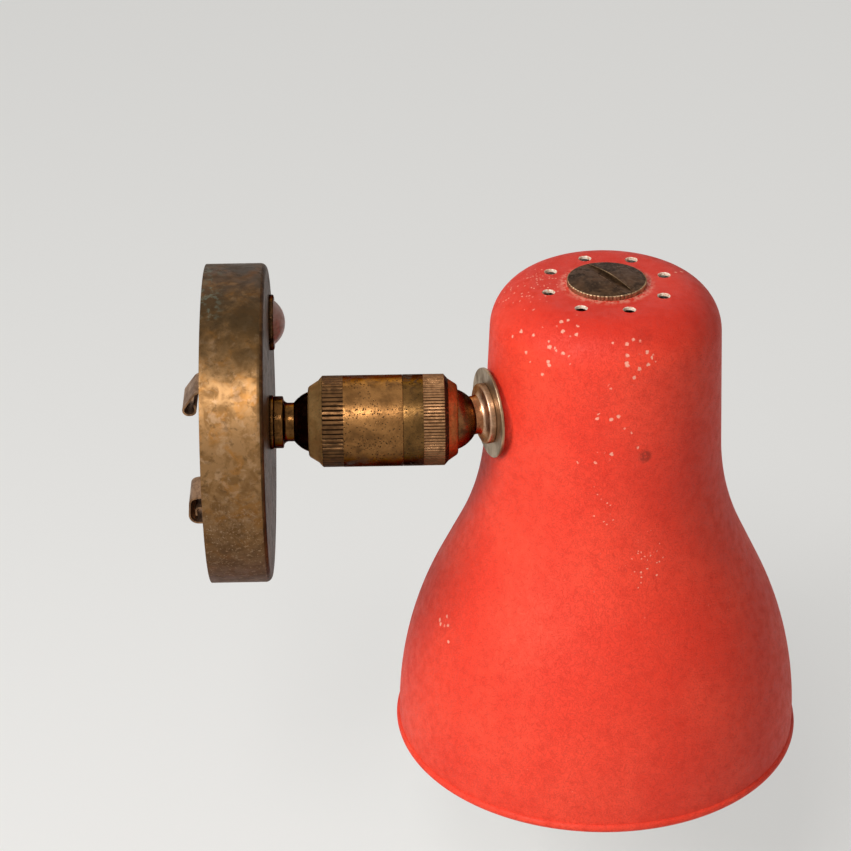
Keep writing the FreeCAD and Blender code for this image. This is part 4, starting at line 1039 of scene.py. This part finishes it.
def build_rings():
    high = CANOPY_FRONT + SEAT_RING_THICK
    path = ring_path(SHANK_HOLE_R, SEAT_RING_R, CANOPY_FRONT, high, RING_FOOT_ROUND, SEAT_RING_ROUND)
    bm, _ = lathe(path, plain(RING_COLUMNS), True)
    finish_piece("stud_seat_ring", bm, ALONG_X, "wall_seat_ring", ["gold"])

    low = -SEAT_PLANE - WASHER_THICK + WASHER_ROOM
    path = ring_path(SHANK_HOLE_R, WASHER_R, low, -SEAT_PLANE, WASHER_ROUND, WASHER_ROUND)
    bm, _ = lathe(spread(path, 1.5), plain(WASHER_COLUMNS), True)
    finish_piece("large_washer", bm, SHADE_PLACE @ ALONG_X, "shade_washer", ["zinc"])


def shade_paths():
    """The shade's outside and inside, from the crown's flat to the mouth, as parallel (radius, z) points."""
    path = rounded(SHADE_OUTLINE, 1.5)
    even = []
    for a, b in zip(path, path[1:]):
        near_stem = min(abs(a.y), abs(b.y)) < STEM_REACH
        steps = max(1, ceil((b - a).length / (SHADE_FINE_RUN if near_stem else SHADE_RUN)))
        even.extend(a.lerp(b, k / steps) for k in range(steps))
    even.append(path[-1])
    pairs = [(out, within) for out, within in zip(even, beside(even, SHADE_WALL)) if out.x >= CROWN_PLATE_R]
    return zip(*pairs)


def crown_fall(r):
    """How far the crown has curved down at a radius near its edge."""
    return max(0.0, r - CROWN_FLAT_R) ** 2 / (2 * CROWN_BEND)


def raise_seat(rings, plane, boss_r):
    """Bring the wall out to a flat boss where the stud passes."""
    for ring in rings:
        for vert in ring:
            reach = hypot(vert.co.y, vert.co.z)
            if vert.co.x < 0 and reach < boss_r + BOSS_BLEND:
                share = min(1.0, (boss_r + BOSS_BLEND - reach) / BOSS_BLEND)
                vert.co.x -= (plane + vert.co.x) * share


def build_shade():
    mouth_r, mouth_z = SHADE_OUTLINE[-1]
    bead_z = mouth_z + sqrt(BEAD_R ** 2 - (SHADE_WALL / 2) ** 2)
    outside, inside = [[p for p in path if p.y > bead_z + BEAD_GAP] for path in shade_paths()]
    lean = degrees(acos(SHADE_WALL / 2 / BEAD_R))
    bead = arc((mouth_r - SHADE_WALL / 2, mouth_z), BEAD_R, lean, lean - 360 + 2 * (90 - lean), 28)
    bm, rings = lathe(outside + bead + inside[::-1], plain(SHADE_COLUMNS))
    inner_from = len(outside) + len(bead) * 3 // 4
    for ring in rings[inner_from:]:
        for vert in ring:
            vert.tag = True
    for face in bm.faces:
        if all(v.tag for v in face.verts):
            face.material_index = 1

    outer_loops = [rings[0]]
    inner_loops = [rings[-1]]
    under = CROWN - SHADE_WALL
    for i in range(VENT_COUNT):
        turn = tau * i / VENT_COUNT
        x = VENT_CIRCLE_R * cos(turn)
        y = VENT_CIRCLE_R * sin(turn)
        lip = ring_at(bm, x, y, CROWN, VENT_R + VENT_CHAMFER, VENT_COLUMNS)
        wall = ring_at(bm, x, y, CROWN - VENT_CHAMFER, VENT_R, VENT_COLUMNS)
        foot = ring_at(bm, x, y, under, VENT_R, VENT_COLUMNS)
        for vert in lip + wall + foot:
            vert.co.z -= crown_fall(hypot(vert.co.x, vert.co.y))
        skin(bm, lip, wall, 2)
        skin(bm, wall, foot, 2)
        outer_loops.append(lip)
        inner_loops.append(foot)
    cap_top = ring_at(bm, 0, 0, CROWN, CAP_HOLE_R, HOLE_COLUMNS)
    cap_foot = ring_at(bm, 0, 0, under, CAP_HOLE_R, HOLE_COLUMNS)
    skin(bm, cap_top, cap_foot, 2)
    fill_plate(bm, outer_loops + [cap_top], 0)
    fill_plate(bm, inner_loops + [cap_foot], 1)

    raise_seat(rings[:len(outside)], SEAT_PLANE, BOSS_R)
    raise_seat(rings[len(outside) + len(bead):], SEAT_PLANE - SHADE_WALL, BOSS_R - SHADE_WALL)
    middles = [(face, face.calc_center_median()) for face in bm.faces]
    stem = [face for face, at in middles if at.x < -SEAT_PLANE / 2 and hypot(at.y, at.z) < STEM_HOLE_R]
    bmesh.ops.delete(bm, geom=stem, context="FACES")
    edges = [e for e in bm.edges if e.is_boundary and e.verts[0].co.x < -SEAT_PLANE / 2]
    bmesh.ops.bridge_loops(bm, edges=edges)
    finish_piece("shade_bell", bm, SHADE_PLACE, "shade_shell",
                 ["paint", "enamel", "vent"], SHADE_SHARP)


def build_cap():
    rim_top = CROWN + CAP_RIM
    top = rim_top + CAP_DOME
    dome_r = CAP_R - CAP_MILL_DEPTH
    sphere_r = (dome_r ** 2 + CAP_DOME ** 2) / (2 * CAP_DOME)
    dome = sphere_run(rim_top, top, sphere_r, top - sphere_r, 26)
    foot = rounded([
        (0, CAP_FOOT),
        (CAP_SHANK_R, CAP_FOOT, 0.6),
        (CAP_SHANK_R, CROWN),
        (CAP_R, CROWN, 0.15),
        (CAP_R, rim_top, 0.3),
        (dome_r, rim_top)], 0.12)

    def mill(r, z):
        return CAP_MILL_DEPTH if r > dome_r + 0.02 and z >= CROWN else 0.0

    bm, _ = lathe(spread(foot, 1.2) + dome[1:], toothed(CAP_TEETH, SEED + 2), False, mill)
    paint_by_height(bm, CROWN, top, 1, dome_r - 0.1)
    clean(bm)

    floor = top - CAP_SLOT_DEPTH
    turn = Matrix.Rotation(CAP_SLOT_TURN - SHADE_SWING, 4, "Z")
    cutter = bmesh.new()
    bmesh.ops.create_cube(cutter, size=1.0)
    cutter.transform(turn @ Matrix.Translation((0, 0, floor + CAP_SLOT_DEPTH))
                     @ Matrix.Diagonal((4 * CAP_R, 2 * CAP_SLOT_HALF, 2 * CAP_SLOT_DEPTH, 1)))
    carved = carve(bm, cutter)
    back = turn.inverted()
    edges = []
    for edge in carved.edges:
        ends = [back @ v.co for v in edge.verts]
        on_wall = all(abs(abs(e.y) - CAP_SLOT_HALF) < 1e-3 for e in ends)
        if on_wall and all(e.z > floor + 0.05 for e in ends) and edge.calc_face_angle(0) > radians(50):
            edges.append(edge)
    bmesh.ops.bevel(carved, geom=edges, offset=CAP_SLOT_BEVEL, segments=2, profile=0.5,
                    affect="EDGES", material=1)
    finish_piece("slotted_cap", carved, SHADE_PLACE, "top_cap_screw", ["cap", "edge"])


def carve(bm, cutter):
    """The first mesh with the second cut out of it."""
    objects = [new_object("carved", to_mesh("carved", bm)), new_object("cutter", to_mesh("cutter", cutter))]
    cut = objects[0].modifiers.new("cut", "BOOLEAN")
    cut.operation = "DIFFERENCE"
    cut.solver = "EXACT"
    cut.object = objects[1]
    graph = bpy.context.evaluated_depsgraph_get()
    result = bmesh.new()
    result.from_object(objects[0], graph)
    for obj in objects:
        mesh = obj.data
        bpy.data.objects.remove(obj)
        bpy.data.meshes.remove(mesh)
    return result


def build_screw_shell():
    """The lamp's brass shell, with its rolled thread."""
    def rolled(r, z, turn):
        if z > SHELL_THREAD_TOP:
            return 0.0
        wave = 0.5 - 0.5 * cos(tau * helix(z, turn, SHELL_PITCH))
        ease = min(1.0, (SHELL_THREAD_TOP - z) / 2, (z - SHELL_LOW) / 2)
        return max(0.0, ease) * SHELL_THREAD * wave

    inner = [(SHELL_BORE_R, SHELL_TOP), (SHELL_BORE_R, SHELL_LOW)]
    outer_r = SHELL_BORE_R + SHELL_WALL
    outer = [(outer_r, SHELL_LOW), (outer_r, SHELL_TOP - SHELL_FLANGE_THICK)]
    path = spread([Vector(p) for p in inner + outer], SHELL_PITCH / 14)
    path += [Vector((SHELL_FLANGE_R, SHELL_TOP - SHELL_FLANGE_THICK)), Vector((SHELL_FLANGE_R, SHELL_TOP))]
    bm, _ = lathe(path, plain(SHELL_COLUMNS), True, None, rolled)
    finish_piece("threaded_shell", bm, SHADE_PLACE, "screw_shell", ["contact"])


def lead_curve(name, routes, node):
    """Leads as smooth round tubes through their routes."""
    curve = bpy.data.curves.new(name, "CURVE")
    curve.dimensions = "3D"
    curve.bevel_depth = LEAD_R * MM
    curve.bevel_resolution = 5
    curve.resolution_u = 16
    curve.use_fill_caps = True
    for route in routes:
        spline = curve.splines.new("NURBS")
        spline.points.add(len(route) - 1)
        for point, place in zip(spline.points, route):
            point.co = (*(Vector(place) * MM), 1.0)
        spline.order_u = 3
        spline.use_endpoint_u = True
    curve.materials.append(LOOK["braid"])
    hand_over(new_object(name, curve), node)


def build_leads():
    """The leads follow the solids: two from the wall stud, one to the supply, and a pair to the holder."""
    live_y = SWITCH_Y - BLADE_SIDE
    tail_y = SWITCH_Y + BLADE_SIDE
    lead_curve("canopy_wires", [
        [(19, LEAD_SIDE, 0), (6.2, LEAD_SIDE, 0), (BLADE_X, live_y, 4), (BLADE_X, live_y, SWITCH_Z - 0.4)],
        [(19, -LEAD_SIDE, 0), (6.2, -LEAD_SIDE, 0), (6.2, -5, 22), (8.2, 2, 35)],
        [(BLADE_X, tail_y, SWITCH_Z + 0.4), (BLADE_X, tail_y, SWITCH_Z + 10.5), (5.5, 22.5, 40.5),
         (8.5, 14, 42)]], "canopy_leads")
    routes = []
    for side in (-1, 1):
        y = side * LEAD_SIDE
        local = [(-SEAT_PLANE, y, 0), (-25.4, y, 0), (-25.4, y, 24.7),
                 (-8, side * 1.8, 24.7), (0, side * 8.9, 20), (0, side * 8.9, 9.2)]
        routes.append([SHADE_PLACE @ Vector(p) for p in local])
    lead_curve("shade_wires", routes, "shade_leads")


# Materials of the solids that stay in view
SOLID_LOOKS = {
    "strap": ["hanging_strap"],
    "bakelite": ["switch_body"],
    "contact": ["clip_rivets", "switch_terminals", "wall_lock_nut", "shade_lock_nut", "centre_contact"],
    "tin": ["lead_tips"],
    "zinc": ["wall_lock_washer", "shade_lock_washer"],
    "cup": ["wall_friction_cup", "shade_friction_cup", "swivel_spring"],
    "holder": ["holder_cap", "holder_skirt"],
    "ceramic": ["holder_insert"],
}


def dress_solids():
    for look, nodes in SOLID_LOOKS.items():
        for node in nodes:
            mesh = frame["nodes"][node].data
            mesh.materials.clear()
            mesh.materials.append(LOOK[look])


build_canopy()
build_clips()
build_switch()
build_sleeves()
build_studs()
build_rings()
build_shade()
build_cap()
build_screw_shell()
build_leads()
dress_solids()


# Floor, light and camera
FLOOR_Z = -0.205
FLOOR_HALF = 6.0
FLOOR_ROUGH = 0.9
FLOOR_GLOW = 0.6
PALE = rgb(240, 239, 236)
WORLD_LIT = 0.11
WORLD_SEEN = 0.9


def seen_rays(tree):
    """1 where a ray comes straight from the camera, or by way of a mirror or glass."""
    rays = add_node(tree, "LightPath", {}).outputs
    share = rays["Is Camera Ray"]
    for kind in ("Is Glossy Ray", "Is Transmission Ray"):
        share = add_node(tree, "Math", {0: share, 1: rays[kind]}, operation="MAXIMUM").outputs[0]
    return share


def blend_shaders(tree, share, first, second, end):
    """Two shaders mixed by a share, fed to an output's surface or to a further mix."""
    mixed = add_node(tree, "MixShader", {0: share, 1: first.outputs[0], 2: second.outputs[0]})
    if end:
        tree.links.new(mixed.outputs[0], tree.nodes[end].inputs["Surface"])
    return mixed


def build_floor():
    bm = bmesh.new()
    corners = [(-1, -1), (1, -1), (1, 1), (-1, 1)]
    bm.faces.new([bm.verts.new((x * FLOOR_HALF, y * FLOOR_HALF, FLOOR_Z)) for x, y in corners])
    mesh = to_mesh("floor", bm)
    material = bpy.data.materials.new("floor_paper")
    material.use_nodes = True
    tree = material.node_tree
    surface = tree.nodes["Principled BSDF"]
    feed(tree, surface.inputs["Base Color"], PALE)
    feed(tree, surface.inputs["Roughness"], FLOOR_ROUGH)
    glow = add_node(tree, "Emission", {"Color": PALE})
    share = add_node(tree, "Math", {0: seen_rays(tree), 1: FLOOR_GLOW}, operation="MULTIPLY").outputs[0]
    paper = blend_shaders(tree, share, surface, glow, None)
    clear = add_node(tree, "BsdfTransparent", {})
    from_below = add_node(tree, "NewGeometry", {}).outputs["Backfacing"]
    blend_shaders(tree, from_below, paper, clear, "Material Output")
    mesh.materials.append(material)
    floor = new_object("floor", mesh)


def build_world():
    world = bpy.data.worlds.new("studio")
    bpy.context.scene.world = world
    world.use_nodes = True
    tree = world.node_tree
    lit = tree.nodes["Background"]
    feed(tree, lit.inputs["Color"], PALE)
    feed(tree, lit.inputs["Strength"], WORLD_LIT)
    seen = add_node(tree, "Background", {"Color": PALE, "Strength": WORLD_SEEN})
    blend_shaders(tree, seen_rays(tree), lit, seen, "World Output")


# Name, place and size in metres, and power in watts
LIGHT_AIM = Vector((0.09, 0.0, -0.03))
LIGHTS = [
    ("key", (-0.56, -0.58, 0.65), (0.42, 0.42), 10.5),
    ("front", (-0.10, -0.64, 0.77), (0.24, 0.24), 3.0),
    ("fill", (1.1, -0.9, 0.5), (0.9, 0.9), 0.6),
    ("back", (0.3, 1.1, 0.9), (0.9, 0.6), 1.5)]


def build_lights():
    for name, place, size, power in LIGHTS:
        light = bpy.data.lights.new(name, "AREA")
        light.shape = "RECTANGLE"
        light.size, light.size_y = size
        light.energy = power
        obj = new_object(name, light)
        obj.location = place
        obj.rotation_euler = (LIGHT_AIM - Vector(place)).to_track_quat("-Z", "Y").to_euler()


# The camera comes from the photo's outlines: a focal length of 2700 pixels on an 851 pixel frame
IMAGE_SIDE = 851
FOCAL_PIXELS = 2700
SENSOR = 36.0
CAMERA_PLACE = Vector((53.8, -743.5, 409.1)) * MM
CAMERA_TURN = radians(-1.08)
CAMERA_DIP = radians(28.94)
CAMERA_ROLL = radians(-0.45)


def build_camera():
    camera = bpy.data.cameras.new("camera")
    camera.sensor_fit = "HORIZONTAL"
    camera.sensor_width = SENSOR
    camera.lens = SENSOR * FOCAL_PIXELS / IMAGE_SIDE
    camera.clip_start = 0.01
    obj = new_object("camera", camera)
    right = Vector((cos(CAMERA_TURN), sin(CAMERA_TURN), 0))
    level = Vector((-sin(CAMERA_TURN), cos(CAMERA_TURN), 0)) * cos(CAMERA_DIP)
    ahead = level - Vector((0, 0, sin(CAMERA_DIP)))
    up = right.cross(ahead)
    across = right * cos(CAMERA_ROLL) + up * sin(CAMERA_ROLL)
    upright = across.cross(ahead)
    axes = Matrix((across, upright, -ahead)).transposed().to_4x4()
    obj.matrix_world = Matrix.Translation(CAMERA_PLACE) @ axes
    bpy.context.scene.camera = obj


build_floor()
build_world()
build_lights()
build_camera()
bpy.context.scene.view_settings.view_transform = "Standard"
